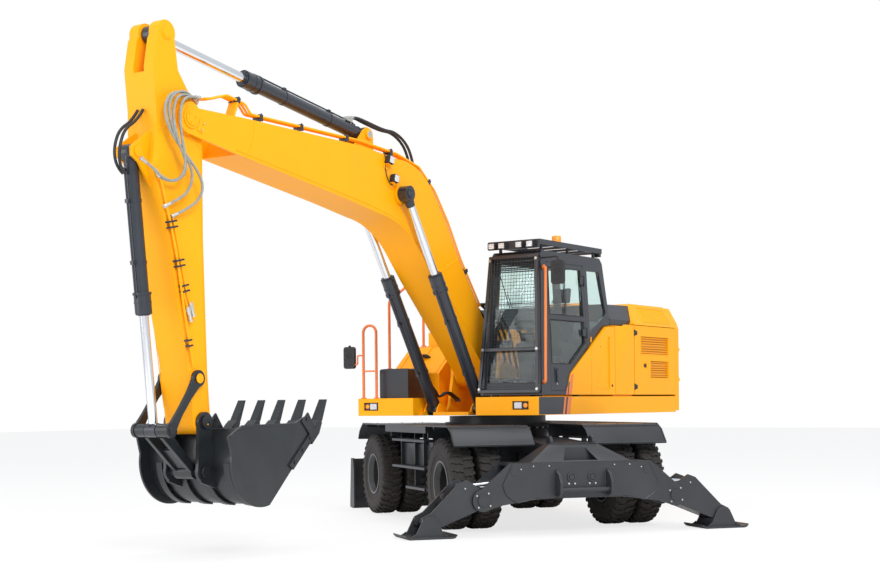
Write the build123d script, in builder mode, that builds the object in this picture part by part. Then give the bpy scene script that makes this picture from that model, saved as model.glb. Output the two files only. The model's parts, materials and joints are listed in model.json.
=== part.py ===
"""Wheeled excavator with two outrigger legs, a blade, a one-piece boom, arm and bucket.

Lengths are millimetres and angles are degrees. X points where the boom points, Y to the side of the
cab, Z up. The slewing axis is the Z axis and the wheels stand on Z = 0 while the pieces are drawn;
every piece is then moved so that the origin is the middle of the machine's footprint.

The working line lies in the XZ plane. Each link of it is drawn in a frame of its own, whose X axis
runs from the pin it turns on to its far pin. The travelling gear is drawn with its blade end along
+X and then turned under the upper structure by the slewing angle.
"""

import math
import os

from build123d import *

os.makedirs("parts", exist_ok=True)

# ---------------------------------------------------------------- driving dimensions
SLEW_ANGLE = 128.0  # from the blade end round to the boom, to the left

# travelling gear
WHEELBASE = 2800.0
REAR_AXLE_X = -1550.0
WIDTH_OVER_TYRES = 2550.0
TYRE_RADIUS = 515.0
TYRE_WIDTH = 278.0
TWIN_PITCH = 325.0
RIM_RADIUS = 262.0
FRAME_HALF = 300.0
FRAME_BOTTOM = 620.0
FRAME_TOP = 1010.0
AXLE_BAY_TOP = 850.0  # roof of the recesses over the axles
TURRET_RADIUS = 640.0
RING_BOTTOM = 1120.0
KINGPIN_Y = WIDTH_OVER_TYRES / 2 - 715.0
FENDER_Z = 1160.0
SHEET = 12.0
BEAM_X = -2410.0
BEAM_DEPTH = 380.0
LEG_PIN = (1120.0, 385.0)  # y, z of the pins in the outrigger frame
FOOT_PIN = (1710.0, 165.0)
LEVER_PIN = (1300.0, 515.0)
LEG_CYLINDER_PIN = (120.0, 610.0)
PAD_LENGTH = 470.0
PAD_THICKNESS = 22.0
BLADE_PIN = (1640.0, 470.0)  # x, z of the blade arms' pins
BLADE_X = 2330.0
BLADE_HALF = 1250.0
BLADE_HEIGHT = 660.0
BLADE_CYLINDER_PIN = (1700.0, 860.0)
BLADE_ROD_PIN = (2210.0, 480.0)

# upper structure
DECK_BOTTOM = 1270.0
DECK_TOP = 1480.0
DECK_FRONT = 1180.0
DECK_HALF = 1265.0
LEFT_BAY = 436.0
RIGHT_BAY = -450.0
COUNTERWEIGHT_FRONT = -2460.0
COUNTERWEIGHT_SIDE = -2610.0
COUNTERWEIGHT_REAR = -2740.0
SIDE_TOP = 2375.0
HOOD_TOP = 2665.0
HOOD_HALF = 1090.0
PANEL = 40.0
PANEL_BOTTOM = 1500.0
FRONT_SEAM = -100.0
MID_SEAM = -720.0
HOOD_SEAM = -1250.0
SEAM = 8.0
BRACKET_INNER = 286.0
BRACKET_THICKNESS = 40.0

# cab
CAB_FLOOR = 1500.0
CAB_INNER_Y = 440.0
CAB_LEAN = 90.0  # how much each side leans in over the height of the cab
CAB_ROOF = 3160.0
CAB_WALL = 50.0
DOOR_GAP = 8.0
GLASS = 8.0

# working line
BOOM_FOOT = (380.0, 1780.0)  # x, z
BOOM_LENGTH = 5750.0
BOOM_ANGLE = 23.3
BOOM_WIDTH = 470.0
BOOM_CYLINDER_PIN = (880.0, 1345.0)  # x, z on the upper structure
BOOM_ROD_PIN = (2600.0, 985.0)  # x, z in the boom's frame
BOOM_CYLINDER_Y = 330.0
ARM_CYLINDER_PIN = (3200.0, 1400.0)  # in the boom's frame
ARM_LENGTH = 2800.0
ARM_ANGLE = -93.5
ARM_WIDTH = 360.0
ARM_ROD_PIN = (-760.0, 200.0)  # in the arm's frame
BUCKET_CYLINDER_PIN = (330.0, 560.0)
ROCKER_PIN = (ARM_LENGTH - 410.0, 60.0)
ROCKER_LENGTH = 595.0
LINK_LENGTH = 580.0
BUCKET_ANGLE = 180.0
BUCKET_WIDTH = 1180.0
BUCKET_LINK_PIN = (-22.0, 462.0)  # in the bucket's frame
BUCKET_SHEET = 22.0
PIN_RADIUS = 42.0
PIN_CLEARANCE = 1.5
SIDE_CLEARANCE = 6.0


# ---------------------------------------------------------------- frames and shared forms
def side_plane(y):
    """The plane of a side view at this y: its X is the machine's X and its Y is up."""
    return Plane.XZ.offset(-y)


def cross_plane(x):
    """The plane of a rear view at this x: its X is the machine's Y and its Y is up."""
    return Plane(origin=(x, 0, 0), x_dir=(0, 1, 0), z_dir=(1, 0, 0))


def placed(frame, point):
    """A point given as x, z in a link's frame, as x, z in the upper structure's."""
    spot = frame * Location((point[0], 0, point[1]))
    return spot.position.X, spot.position.Z


def aimed(start, end):
    """The frame at start whose X axis points at end, both given as x, z."""
    angle = math.degrees(math.atan2(end[1] - start[1], end[0] - start[0]))
    return Location((start[0], 0, start[1]), (0, -angle, 0))


def meeting_point(a, radius_a, b, radius_b):
    """Where two circles meet, on the left of the way from a to b."""
    span = math.dist(a, b)
    along = (radius_a**2 - radius_b**2 + span**2) / (2 * span)
    across = math.sqrt(radius_a**2 - along**2)
    ux, uz = (b[0] - a[0]) / span, (b[1] - a[1]) / span
    return a[0] + along * ux - across * uz, a[1] + along * uz + across * ux


CHASSIS = Location((0, 0, 0), (0, 0, -SLEW_ANGLE))
UPPER = Location((0, 0, 0))
BOOM = Location((BOOM_FOOT[0], 0, BOOM_FOOT[1]), (0, -BOOM_ANGLE, 0))
BOOM_TIP = placed(BOOM, (BOOM_LENGTH, 0))
ARM = Location((BOOM_TIP[0], 0, BOOM_TIP[1]), (0, -ARM_ANGLE, 0))
BUCKET_PIN = placed(ARM, (ARM_LENGTH, 0))
BUCKET = Location((BUCKET_PIN[0], 0, BUCKET_PIN[1]), (0, -BUCKET_ANGLE, 0))
ROCKER_AT = placed(ARM, ROCKER_PIN)
LINK_AT = placed(BUCKET, BUCKET_LINK_PIN)
CROSSHEAD = meeting_point(LINK_AT, LINK_LENGTH, ROCKER_AT, ROCKER_LENGTH)
if CROSSHEAD[0] < ROCKER_AT[0]:
    CROSSHEAD = meeting_point(ROCKER_AT, ROCKER_LENGTH, LINK_AT, LINK_LENGTH)

PIECES = {}  # node: its parts, each moved from the frame that it was drawn in


def keep(piece, node, frame):
    """Names a finished piece and keeps it; pieces kept under one name are written as one node."""
    piece.part.label = node
    PIECES.setdefault(node, []).append(piece.part.moved(frame))


def slab(outline, y_low, y_high, mode=Mode.ADD):
    """A plate of this side outline, between two values of y."""
    with BuildSketch(side_plane(y_high)) as side:
        with BuildLine():
            Polyline(*outline, close=True)
        make_face()
    extrude(side.sketch, amount=y_high - y_low, mode=mode)


def bar_along_y(x, z, radius, y_low, y_high, mode=Mode.ADD):
    """A round bar across the machine."""
    with BuildSketch(side_plane(y_high)) as side:
        with Locations((x, z)):
            Circle(radius)
    extrude(side.sketch, amount=y_high - y_low, mode=mode)


def box_between(x, y, z, mode=Mode.ADD):
    """A box from its low and high values along each axis."""
    with Locations(((x[0] + x[1]) / 2, (y[0] + y[1]) / 2, (z[0] + z[1]) / 2)):
        Box(abs(x[1] - x[0]), abs(y[1] - y[0]), abs(z[1] - z[0]), mode=mode)


def mirrored_y(y_low, y_high):
    """The spans of a left piece and of its twin on the right."""
    return ((y_low, y_high), (-y_high, -y_low))


# ---------------------------------------------------------------- hydraulic cylinders
# name: (bore radius of the barrel's outside, rod radius, gland radius, barrel length from the pin)
def make_barrel(outer, rod, gland, gland_length, length, eye_radius, eye_width, offsets):
    """Barrels side by side, one at each y offset, eye at the origin and rod leaving along X."""
    with BuildPart() as barrel:
        for y in offsets:
            bar_along_y(0, 0, eye_radius, y - eye_width / 2, y + eye_width / 2)
            with BuildSketch(Plane.YZ):
                with Locations((y, 0)):
                    Circle(outer)
            extrude(amount=length)
            with BuildSketch(Plane.YZ.offset(length - gland_length)):
                with Locations((y, 0)):
                    Circle(gland)
            extrude(amount=gland_length)
            with BuildSketch(Plane.YZ.offset(outer * 1.6)):
                with Locations((y, 0)):
                    Circle(rod + PIN_CLEARANCE)
            extrude(amount=length, mode=Mode.SUBTRACT)
            bar_along_y(0, 0, PIN_RADIUS + PIN_CLEARANCE, y - eye_width, y + eye_width, Mode.SUBTRACT)
    return barrel


def make_rod(rod, start, end, eye_radius, eye_width, offsets):
    """Rods in the barrels' frame: from start inside the barrel to the eye at end."""
    with BuildPart() as rods:
        for y in offsets:
            with BuildSketch(Plane.YZ.offset(start)):
                with Locations((y, 0)):
                    Circle(rod)
            extrude(amount=end - start)
            bar_along_y(end, 0, eye_radius, y - eye_width / 2, y + eye_width / 2)
    return rods


# ================================================================ travelling gear
FRONT_AXLE_X = REAR_AXLE_X + WHEELBASE
OUTER_TYRE_Y = (WIDTH_OVER_TYRES - TYRE_WIDTH) / 2
INNER_TYRE_Y = OUTER_TYRE_Y - TWIN_PITCH
DISC_Y = (OUTER_TYRE_Y + INNER_TYRE_Y) / 2
HUB_RADIUS = 165.0
HUB_END = INNER_TYRE_Y - TYRE_WIDTH / 2 - 20
AXLE_RADIUS = 95.0
BLADE_SHEET = 20.0
TYRE_GAP = 1.0

# ---- tyres and rims
LUGS = 22
LUG_HEIGHT = 26.0
LUG_FOOT = 0.56  # share of each pitch that a lug takes at its foot
LUG_CREST = 0.40  # and at its crest
TYRE_SECTION = (  # share of half the width, share of the height from rim to the foot of the lugs
    (0.76, 0.04), (0.96, 0.38), (0.93, 1.0))


def carcass_ring(y, radius):
    """The corners of the carcass at this y, one under the middle of each lug."""
    turns = [math.tau * (lug / LUGS - 0.25) for lug in range(LUGS)]
    return [Vector(radius * math.cos(turn), y, radius * math.sin(turn)) for turn in turns]


def tread_ring(y, foot, crest):
    """The corners round the lugs at this y: up one flank of each, over its flat crest and down the other."""
    corner = crest / math.cos(LUG_CREST / 2 * math.tau / LUGS)
    flanks = ((-LUG_FOOT / 2, foot), (-LUG_CREST / 2, corner), (LUG_CREST / 2, corner), (LUG_FOOT / 2, foot))
    corners = []
    for lug in range(LUGS):
        for share, radius in flanks:
            turn = math.tau * ((lug + share) / LUGS - 0.25)
            corners.append(Vector(radius * math.cos(turn), y, radius * math.sin(turn)))
    return corners


def band(near, far):
    """Flat faces from one ring of corners to the next."""
    spots = zip(near, near[1:] + near[:1], far[1:] + far[:1], far)
    return [Face(Wire.make_polygon(corners, close=True)) for corners in spots]


def washer(outer, inner):
    """The flat face between two rings of corners."""
    return Face(Wire.make_polygon(outer, close=True), [Wire.make_polygon(inner, close=True)])


def make_tyres(sign):
    """The two tyres of one wheel, about the axle through the origin, with lugs across the tread."""
    half = TYRE_WIDTH / 2
    base = (RIM_RADIUS + TYRE_GAP) / math.cos(math.pi / LUGS)
    foot = TYRE_RADIUS - LUG_HEIGHT
    with BuildPart() as tyres:
        for y_middle in (sign * OUTER_TYRE_Y, sign * INNER_TYRE_Y):
            faces, bores, treads = [], [], []
            for way in (-1, 1):
                rings = [carcass_ring(y_middle + way * side * half, base + share * (foot - base))
                         for side, share in TYRE_SECTION]
                bores.append(carcass_ring(rings[0][0].Y, base))
                treads.append(tread_ring(rings[-1][0].Y, foot, TYRE_RADIUS))
                faces += band(rings[0], rings[1]) + band(rings[1], rings[2])
                faces += [washer(rings[0], bores[-1]), washer(treads[-1], rings[-1])]
            faces += band(*bores) + band(*treads)
            add(Solid(Shell(faces)))
    return tyres


def make_rim(sign):
    """Twin rim with its disc, hub cap and a ring of nuts."""
    half = TYRE_WIDTH / 2
    edge = OUTER_TYRE_Y + half - 18
    inner_edge = INNER_TYRE_Y - half + 18
    well = RIM_RADIUS - 26
    profile = (  # radius, y
        (well, inner_edge), (RIM_RADIUS, inner_edge), (RIM_RADIUS, edge), (well, edge),
        (well - 30, edge - 60), (well - 30, DISC_Y + 70), (HUB_RADIUS + 20, DISC_Y + 22),
        (HUB_RADIUS - 20, DISC_Y + 22), (HUB_RADIUS - 30, DISC_Y + 120), (90, DISC_Y + 150),
        (0, DISC_Y + 150), (0, DISC_Y), (well, DISC_Y))
    with BuildPart() as rim:
        with BuildSketch(Plane.XY):
            with BuildLine():
                Polyline(*[(radius, sign * y) for radius, y in profile], close=True)
            make_face()
        revolve(axis=Axis.Y)
        face_y = DISC_Y + 20
        with BuildSketch(side_plane(sign * face_y if sign < 0 else face_y + 22)):
            with PolarLocations(HUB_RADIUS + 22, 10):
                RegularPolygon(15, 6)
        extrude(amount=22)
    return rim


WHEEL_SPOTS = {  # name: (x, sign of y)
    "rear_left": (REAR_AXLE_X, 1), "rear_right": (REAR_AXLE_X, -1),
    "front_left": (FRONT_AXLE_X, 1), "front_right": (FRONT_AXLE_X, -1)}
for spot, (axle_x, sign) in WHEEL_SPOTS.items():
    on_axle = CHASSIS * Location((axle_x, 0, TYRE_RADIUS))
    keep(make_tyres(sign), "tyres_" + spot, on_axle)
    keep(make_rim(sign), "rim_" + spot, on_axle)

# ---- rear axle: fixed housing with its drive head
with BuildPart() as rear_axle:
    with BuildSketch(Plane.XY):
        with BuildLine():
            Polyline((0, -HUB_END), (HUB_RADIUS, -HUB_END), (HUB_RADIUS, -HUB_END + 70),
                     (AXLE_RADIUS, -HUB_END + 150), (AXLE_RADIUS, -260), (210, -120), (210, 120),
                     (AXLE_RADIUS, 260), (AXLE_RADIUS, HUB_END - 150), (HUB_RADIUS, HUB_END - 70),
                     (HUB_RADIUS, HUB_END), (0, HUB_END), close=True)
        make_face()
    revolve(axis=Axis.Y)
    for low, high in mirrored_y(HUB_END, DISC_Y - 3):
        bar_along_y(0, 0, HUB_RADIUS - 25, low, high)
    with BuildSketch(Plane.YZ):
        Circle(150)
    extrude(amount=330)
    for low, high in mirrored_y(190, FRAME_HALF - 20):
        box_between((-90, 90), (low, high), (AXLE_RADIUS - 40, AXLE_BAY_TOP - TYRE_RADIUS))
keep(rear_axle, "rear_axle", CHASSIS * Location((REAR_AXLE_X, 0, TYRE_RADIUS)))

# ---- front axle: rocks on a pivot under the frame and ends in a fork at each kingpin
FORK_GAP = 95.0
FORK_ARM = 45.0
KINGPIN_RADIUS = 38.0
with BuildPart() as front_axle:
    with BuildSketch(Plane.XY):
        with BuildLine():
            Polyline((0, -KINGPIN_Y + 150), (AXLE_RADIUS, -KINGPIN_Y + 150), (AXLE_RADIUS, -250),
                     (200, -110), (200, 110), (AXLE_RADIUS, 250), (AXLE_RADIUS, KINGPIN_Y - 150),
                     (0, KINGPIN_Y - 150), close=True)
        make_face()
    revolve(axis=Axis.Y)
    with BuildSketch(Plane.YZ.offset(-330)):
        Circle(140)
    extrude(amount=330)
    box_between((-230, 230), (-110, 110), (150, AXLE_BAY_TOP - TYRE_RADIUS))
    for sign in (1, -1):
        inner, outer = sorted((sign * (KINGPIN_Y - 170), sign * (KINGPIN_Y - 120)))
        box_between((-80, 80), (inner, outer), (-FORK_GAP - FORK_ARM, FORK_GAP + FORK_ARM))
        inner, outer = sorted((sign * (KINGPIN_Y - 120), sign * (KINGPIN_Y + 10)))
        for low, high in ((FORK_GAP, FORK_GAP + FORK_ARM), (-FORK_GAP - FORK_ARM, -FORK_GAP)):
            box_between((-55, 55), (inner, outer), (low, high))
            with Locations((0, sign * KINGPIN_Y, (low + high) / 2)):
                Cylinder(58, FORK_ARM)
keep(front_axle, "front_axle", CHASSIS * Location((FRONT_AXLE_X, 0, TYRE_RADIUS)))


def make_knuckle(sign):
    """Steered hub carrier between the fork's arms, with its steering lever."""
    with BuildPart() as knuckle:
        with Locations((0, sign * KINGPIN_Y, 0)):
            Cylinder(56, 2 * FORK_GAP - 10)
        with BuildSketch(Plane.XZ.offset(-sign * KINGPIN_Y)):
            Circle(88)
        extrude(amount=-sign * (HUB_END - KINGPIN_Y))
        with BuildSketch(Plane.XZ.offset(-sign * (KINGPIN_Y + 62))):
            Circle(HUB_RADIUS - 25)
        extrude(amount=-sign * (DISC_Y - 3 - KINGPIN_Y - 62))
        near, far = sorted((sign * (KINGPIN_Y + 5), sign * (KINGPIN_Y + 60)))
        box_between((-190, 0), (near, far), (-60, -25))
    return knuckle


for side, sign in (("left", 1), ("right", -1)):
    on_axle = CHASSIS * Location((FRONT_AXLE_X, 0, TYRE_RADIUS))
    keep(make_knuckle(sign), "knuckle_" + side, on_axle)

# ---- drive line: gearbox under the frame and a shaft to each axle
SHAFT_Z = TYRE_RADIUS
GEARBOX = (-330.0, 130.0)
with BuildPart() as driveline:
    box_between(GEARBOX, (-170, 170), (SHAFT_Z - 150, FRAME_BOTTOM - 1))
    for start, end in ((REAR_AXLE_X + 331, GEARBOX[0]), (GEARBOX[1], FRONT_AXLE_X - 331)):
        with BuildSketch(Plane.YZ.offset(start)):
            with Locations((0, SHAFT_Z)):
                Circle(42)
        extrude(amount=end - start)
        for flange in (start, end - 30):
            with BuildSketch(Plane.YZ.offset(flange)):
                with Locations((0, SHAFT_Z)):
                    Circle(78)
            extrude(amount=30)
keep(driveline, "rear_axle", CHASSIS)

# ---- chassis frame: box girder, turret under the slewing ring, nose over the outrigger beam
FRAME_REAR = BEAM_X + BEAM_DEPTH / 2
FRAME_FRONT = 1720.0
LEG_BAY = BEAM_DEPTH / 2 - 40.0
with BuildPart() as chassis_frame:
    with BuildSketch(Plane.XZ.offset(-FRAME_HALF)):
        with BuildLine():
            Polyline((FRAME_REAR, FRAME_BOTTOM - 180), (FRAME_REAR + 140, FRAME_BOTTOM - 180),
                     (REAR_AXLE_X - 330, AXLE_BAY_TOP), (REAR_AXLE_X + 250, AXLE_BAY_TOP),
                     (REAR_AXLE_X + 420, FRAME_BOTTOM), (FRONT_AXLE_X - 430, FRAME_BOTTOM),
                     (FRONT_AXLE_X - 330, AXLE_BAY_TOP), (FRONT_AXLE_X + 240, AXLE_BAY_TOP),
                     (FRONT_AXLE_X + 300, FRAME_BOTTOM - 250), (FRAME_FRONT, FRAME_BOTTOM - 250),
                     (FRAME_FRONT, FRAME_TOP - 60), (900, FRAME_TOP), (-1300, FRAME_TOP),
                     (FRAME_REAR, 960), close=True)
        make_face()
    extrude(amount=2 * FRAME_HALF)
    with BuildSketch(Plane.XY.offset(FRAME_TOP - 60)):
        Circle(TURRET_RADIUS)
    with BuildSketch(Plane.XY.offset(RING_BOTTOM)):
        Circle(TURRET_RADIUS - 20)
    loft()
    for sign in (1, -1):  # brackets of the blade arms and of the blade cylinders
        near, far = sorted((sign * 175, sign * 205))
        slab(((FRAME_FRONT - 10, 760), (FRAME_FRONT + 60, 780), (BLADE_CYLINDER_PIN[0] + 75, 830),
              (BLADE_CYLINDER_PIN[0] + 75, 900), (BLADE_CYLINDER_PIN[0] + 20, 930),
              (FRAME_FRONT - 40, 930)), near, far)
    slot = (FRAME_HALF - 130, FRAME_HALF - 60)
    for low, high in mirrored_y(*slot):  # pockets that take the roots of the blade arms
        box_between((BLADE_PIN[0] - 95, FRAME_FRONT + 5), (low, high),
                    (FRAME_BOTTOM - 260, BLADE_PIN[1] + 130), Mode.SUBTRACT)
    for sign in (1, -1):  # pockets of the blade cylinders
        near, far = sorted((sign * 60, sign * 175))
        box_between((BLADE_CYLINDER_PIN[0] - 95, FRAME_FRONT + 5), (near, far), (620, 1000), Mode.SUBTRACT)
    bar_along_y(BLADE_PIN[0], BLADE_PIN[1], PIN_RADIUS, -FRAME_HALF + 10, FRAME_HALF - 10)
    bar_along_y(*BLADE_CYLINDER_PIN, 32, -205, 205)
keep(chassis_frame, "chassis_frame", CHASSIS)

# ---- outrigger beam across the rear end, its ends sloping down to the leg pins
BEAM_TOP = 770.0
BEAM_BOTTOM = 385.0
BEAM_END_HALF = 820.0
BEAM_WALL = 30.0
BEAM_BOSS = 120.0
NOSE_TOP = 960.0
with BuildPart() as outrigger_beam:
    leg_y, leg_z = LEG_PIN
    for x in (BEAM_X - BEAM_DEPTH / 2, BEAM_X + BEAM_DEPTH / 2 - BEAM_WALL):
        with BuildSketch(cross_plane(x)):
            with BuildLine():
                Polyline((-BEAM_END_HALF, BEAM_TOP), (-leg_y - 20, leg_z + BEAM_BOSS), (-leg_y, leg_z),
                         (-leg_y, leg_z - BEAM_BOSS), (-BEAM_END_HALF - 100, BEAM_BOTTOM - 60),
                         (-520, BEAM_BOTTOM), (520, BEAM_BOTTOM),
                         (BEAM_END_HALF + 100, BEAM_BOTTOM - 60), (leg_y, leg_z - BEAM_BOSS),
                         (leg_y, leg_z), (leg_y + 20, leg_z + BEAM_BOSS), (BEAM_END_HALF, BEAM_TOP),
                         close=True)
            make_face()
            with Locations((-leg_y, leg_z), (leg_y, leg_z)):
                Circle(BEAM_BOSS)
        extrude(amount=BEAM_WALL)
    span = (BEAM_X - BEAM_DEPTH / 2, BEAM_X + BEAM_DEPTH / 2)
    box_between(span, (-BEAM_END_HALF, BEAM_END_HALF), (BEAM_TOP - BEAM_WALL, BEAM_TOP))
    box_between(span, (-520, 520), (BEAM_BOTTOM, BEAM_BOTTOM + BEAM_WALL))
    for sign in (1, -1):
        with BuildSketch(cross_plane(span[0])):
            with Locations((sign * leg_y, leg_z)):
                Circle(PIN_RADIUS)
        extrude(amount=BEAM_DEPTH)
        with BuildSketch(cross_plane(span[0])):
            with Locations((sign * LEG_CYLINDER_PIN[0], LEG_CYLINDER_PIN[1])):
                Circle(PIN_RADIUS - 10)
        extrude(amount=BEAM_DEPTH)
    for low, high in mirrored_y(280, 310):  # towing lugs on the rear face
        slab(((span[0], 700), (span[0] - 110, 640), (span[0] - 150, 560), (span[0] - 150, 440),
              (span[0] - 110, 410), (span[0], 410)), low, high)
    bar_along_y(span[0] - 90, 480, 22, -280, 280)
    # nose: sloping box over the beam, with a window and two lifting eyes
    with BuildSketch(Plane.XY.offset(BEAM_TOP)):
        with Locations((BEAM_X, 0)):
            Rectangle(BEAM_DEPTH, 1180)
    with BuildSketch(Plane.XY.offset(NOSE_TOP)):
        with Locations((BEAM_X + 110, 0)):
            Rectangle(150, 560)
    loft()
    with BuildSketch(cross_plane(span[0] - 20)):
        with BuildLine():
            Polyline((-200, BEAM_TOP + 18), (200, BEAM_TOP + 18), (110, NOSE_TOP - 30),
                     (-110, NOSE_TOP - 30), close=True)
        make_face()
    extrude(amount=200, mode=Mode.SUBTRACT)
    for low, high in mirrored_y(230, 262):
        bar_along_y(BEAM_X + 110, NOSE_TOP + 25, 62, low, high)
        bar_along_y(BEAM_X + 110, NOSE_TOP + 35, 24, low - 1, high + 1, Mode.SUBTRACT)
    bar_along_y(BEAM_X + 110, NOSE_TOP - 10, 16, -230, 230)
keep(outrigger_beam, "outrigger_beam", CHASSIS)


# ---- outrigger legs, their feet and cylinders, drawn about the leg pin in the rear view
def make_leg(sign):
    """Tapered double plate leg with its lever over the pin and a cross web."""
    py, pz = LEG_PIN
    fy, fz = FOOT_PIN
    ly, lz = LEVER_PIN
    outline = ((py - 40, pz - 95), (py + 60, pz - 110), (fy - 60, fz - 75), (fy + 75, fz - 30),
               (fy + 75, fz + 55), (fy - 20, fz + 100), (ly + 75, lz + 60), (ly - 10, lz + 90),
               (py - 20, pz + 95), (py - 95, pz + 30), (py - 95, pz - 40))
    outer = BEAM_DEPTH / 2 - BEAM_WALL - SIDE_CLEARANCE
    wall = 28.0
    with BuildPart() as leg:
        for x in (BEAM_X - outer, BEAM_X + outer - wall):
            with BuildSketch(cross_plane(x)):
                with BuildLine():
                    Polyline(*[(sign * y, z) for y, z in outline], close=True)
                make_face()
            extrude(amount=wall)
        web = ((py + 60, pz - 108), (fy - 60, fz - 73), (fy - 60, fz - 48), (py + 60, pz - 83))
        with BuildSketch(cross_plane(BEAM_X - outer)):
            with BuildLine():
                Polyline(*[(sign * y, z) for y, z in web], close=True)
            make_face()
        extrude(amount=2 * outer)
        with BuildSketch(cross_plane(BEAM_X - outer)):
            with Locations((sign * py, pz)):
                Circle(BEAM_BOSS - 25)
        extrude(amount=2 * outer)
        with BuildSketch(cross_plane(BEAM_X - outer - 5)):
            with Locations((sign * py, pz)):
                Circle(PIN_RADIUS + PIN_CLEARANCE)
        extrude(amount=2 * outer + 10, mode=Mode.SUBTRACT)
        with BuildSketch(cross_plane(BEAM_X - outer - 14)):
            with Locations((sign * fy, fz)):
                Circle(PIN_RADIUS - 4)
        extrude(amount=2 * outer + 28)
    return leg


def make_foot(sign):
    """Flat pad with two upright ears outside the leg and turned-up ends."""
    fy, fz = FOOT_PIN
    outer = BEAM_DEPTH / 2 - BEAM_WALL
    ear = 20.0
    with BuildPart() as foot:
        box_between((BEAM_X - outer - 70, BEAM_X + outer + 70),
                    (sign * (fy - PAD_LENGTH / 2), sign * (fy + PAD_LENGTH / 2)), (0, PAD_THICKNESS))
        for x in (BEAM_X - outer - ear, BEAM_X + outer):
            with BuildSketch(cross_plane(x)):
                with BuildLine():
                    Polyline((sign * (fy - 165), PAD_THICKNESS), (sign * (fy - 75), fz + 40),
                             (sign * (fy - 30), fz + 72), (sign * (fy + 30), fz + 72),
                             (sign * (fy + 75), fz + 40), (sign * (fy + 165), PAD_THICKNESS), close=True)
                make_face()
                with Locations((sign * fy, fz)):
                    Circle(PIN_RADIUS - 4 + PIN_CLEARANCE, mode=Mode.SUBTRACT)
            extrude(amount=ear)
    return foot


LEG_BARREL = 760.0
LEG_ROD_RADIUS = 30.0
LEG_CYLINDER_SPAN = math.dist(LEG_CYLINDER_PIN, LEVER_PIN)


def rear_aimed(sign):
    """The frame of a leg cylinder: origin at its base pin, X axis to the lever pin."""
    (by, bz), (ly, lz) = LEG_CYLINDER_PIN, LEVER_PIN
    angle = math.degrees(math.atan2(lz - bz, ly - by))
    shift = BEAM_X + (70 if sign > 0 else -70)
    return Location((shift, sign * by, bz)) * Location((0, 0, 0), (0, 0, sign * 90)) * Location(
        (0, 0, 0), (0, -angle, 0))


for side, sign in (("left", 1), ("right", -1)):
    keep(make_leg(sign), "leg_" + side, CHASSIS)
    keep(make_foot(sign), "foot_" + side, CHASSIS)
    barrel = make_barrel(50, LEG_ROD_RADIUS, 56, 60, LEG_BARREL, 58, 90, (0,))
    keep(barrel, "leg_barrel_" + side, CHASSIS * rear_aimed(sign))
    rod = make_rod(LEG_ROD_RADIUS, LEG_BARREL - 330, LEG_CYLINDER_SPAN, 50, 80, (0,))
    keep(rod, "leg_rod_" + side, CHASSIS * rear_aimed(sign))

# ---- blade at the front end: curved mouldboard, two arms and two cylinders
END_PLATE = 24.0
with BuildPart() as blade:
    with BuildSketch(side_plane(BLADE_HALF - END_PLATE / 2)):
        with BuildLine():
            Polyline((BLADE_X, 0), (BLADE_X + 110, 0), (BLADE_X + 40, 90))
            ThreePointArc((BLADE_X + 40, 90), (BLADE_X + BLADE_SHEET, 350),
                          (BLADE_X + 75, BLADE_HEIGHT))
            Polyline((BLADE_X + 75, BLADE_HEIGHT), (BLADE_X + 50, BLADE_HEIGHT + 12))
            ThreePointArc((BLADE_X + 50, BLADE_HEIGHT + 12), (BLADE_X, 350), (BLADE_X - 10, 90))
            Line((BLADE_X - 10, 90), (BLADE_X, 0))
        make_face()
    extrude(amount=2 * BLADE_HALF - END_PLATE)
    for low, high in mirrored_y(BLADE_HALF - END_PLATE, BLADE_HALF):
        slab(((BLADE_X - 60, 8), (BLADE_X + 150, 8), (BLADE_X + 150, 90),
              (BLADE_X + 90, BLADE_HEIGHT + 20), (BLADE_X - 20, BLADE_HEIGHT + 20),
              (BLADE_X - 60, 520)), low, high)
    for low, high in mirrored_y(slot[0] + SIDE_CLEARANCE, slot[1] - SIDE_CLEARANCE):
        slab(((BLADE_PIN[0] - 60, BLADE_PIN[1] - 40), (BLADE_PIN[0] + 60, BLADE_PIN[1] - 80),
              (BLADE_X + 12, 130), (BLADE_X + 12, 430), (BLADE_PIN[0] + 60, BLADE_PIN[1] + 80),
              (BLADE_PIN[0] - 60, BLADE_PIN[1] + 40)), low, high)
        bar_along_y(BLADE_PIN[0], BLADE_PIN[1], 78, low, high)
        bar_along_y(BLADE_PIN[0], BLADE_PIN[1], PIN_RADIUS + PIN_CLEARANCE, low - 1, high + 1,
                    Mode.SUBTRACT)
    for sign in (1, -1):  # ears of the blade cylinders' rods
        for ear_y in (62, 158):
            near, far = sorted((sign * ear_y, sign * (ear_y + 16)))
            slab(((BLADE_X + 8, BLADE_ROD_PIN[1] - 110), (BLADE_ROD_PIN[0] - 60, BLADE_ROD_PIN[1] - 60),
                  (BLADE_ROD_PIN[0] - 60, BLADE_ROD_PIN[1] + 50),
                  (BLADE_X + 28, BLADE_ROD_PIN[1] + 90)), near, far)
keep(blade, "blade", CHASSIS)

BLADE_CYLINDER = aimed(BLADE_CYLINDER_PIN, BLADE_ROD_PIN)
BLADE_SPAN = math.dist(BLADE_CYLINDER_PIN, BLADE_ROD_PIN)
BLADE_BARREL = 380.0
BLADE_CYLINDER_Y = (118.0, -118.0)
keep(make_barrel(46, 28, 52, 45, BLADE_BARREL, 52, 80, BLADE_CYLINDER_Y), "blade_barrels",
     CHASSIS * BLADE_CYLINDER)
keep(make_rod(28, 248, BLADE_SPAN, 46, 68, BLADE_CYLINDER_Y), "blade_rods",
     CHASSIS * BLADE_CYLINDER)

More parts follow.
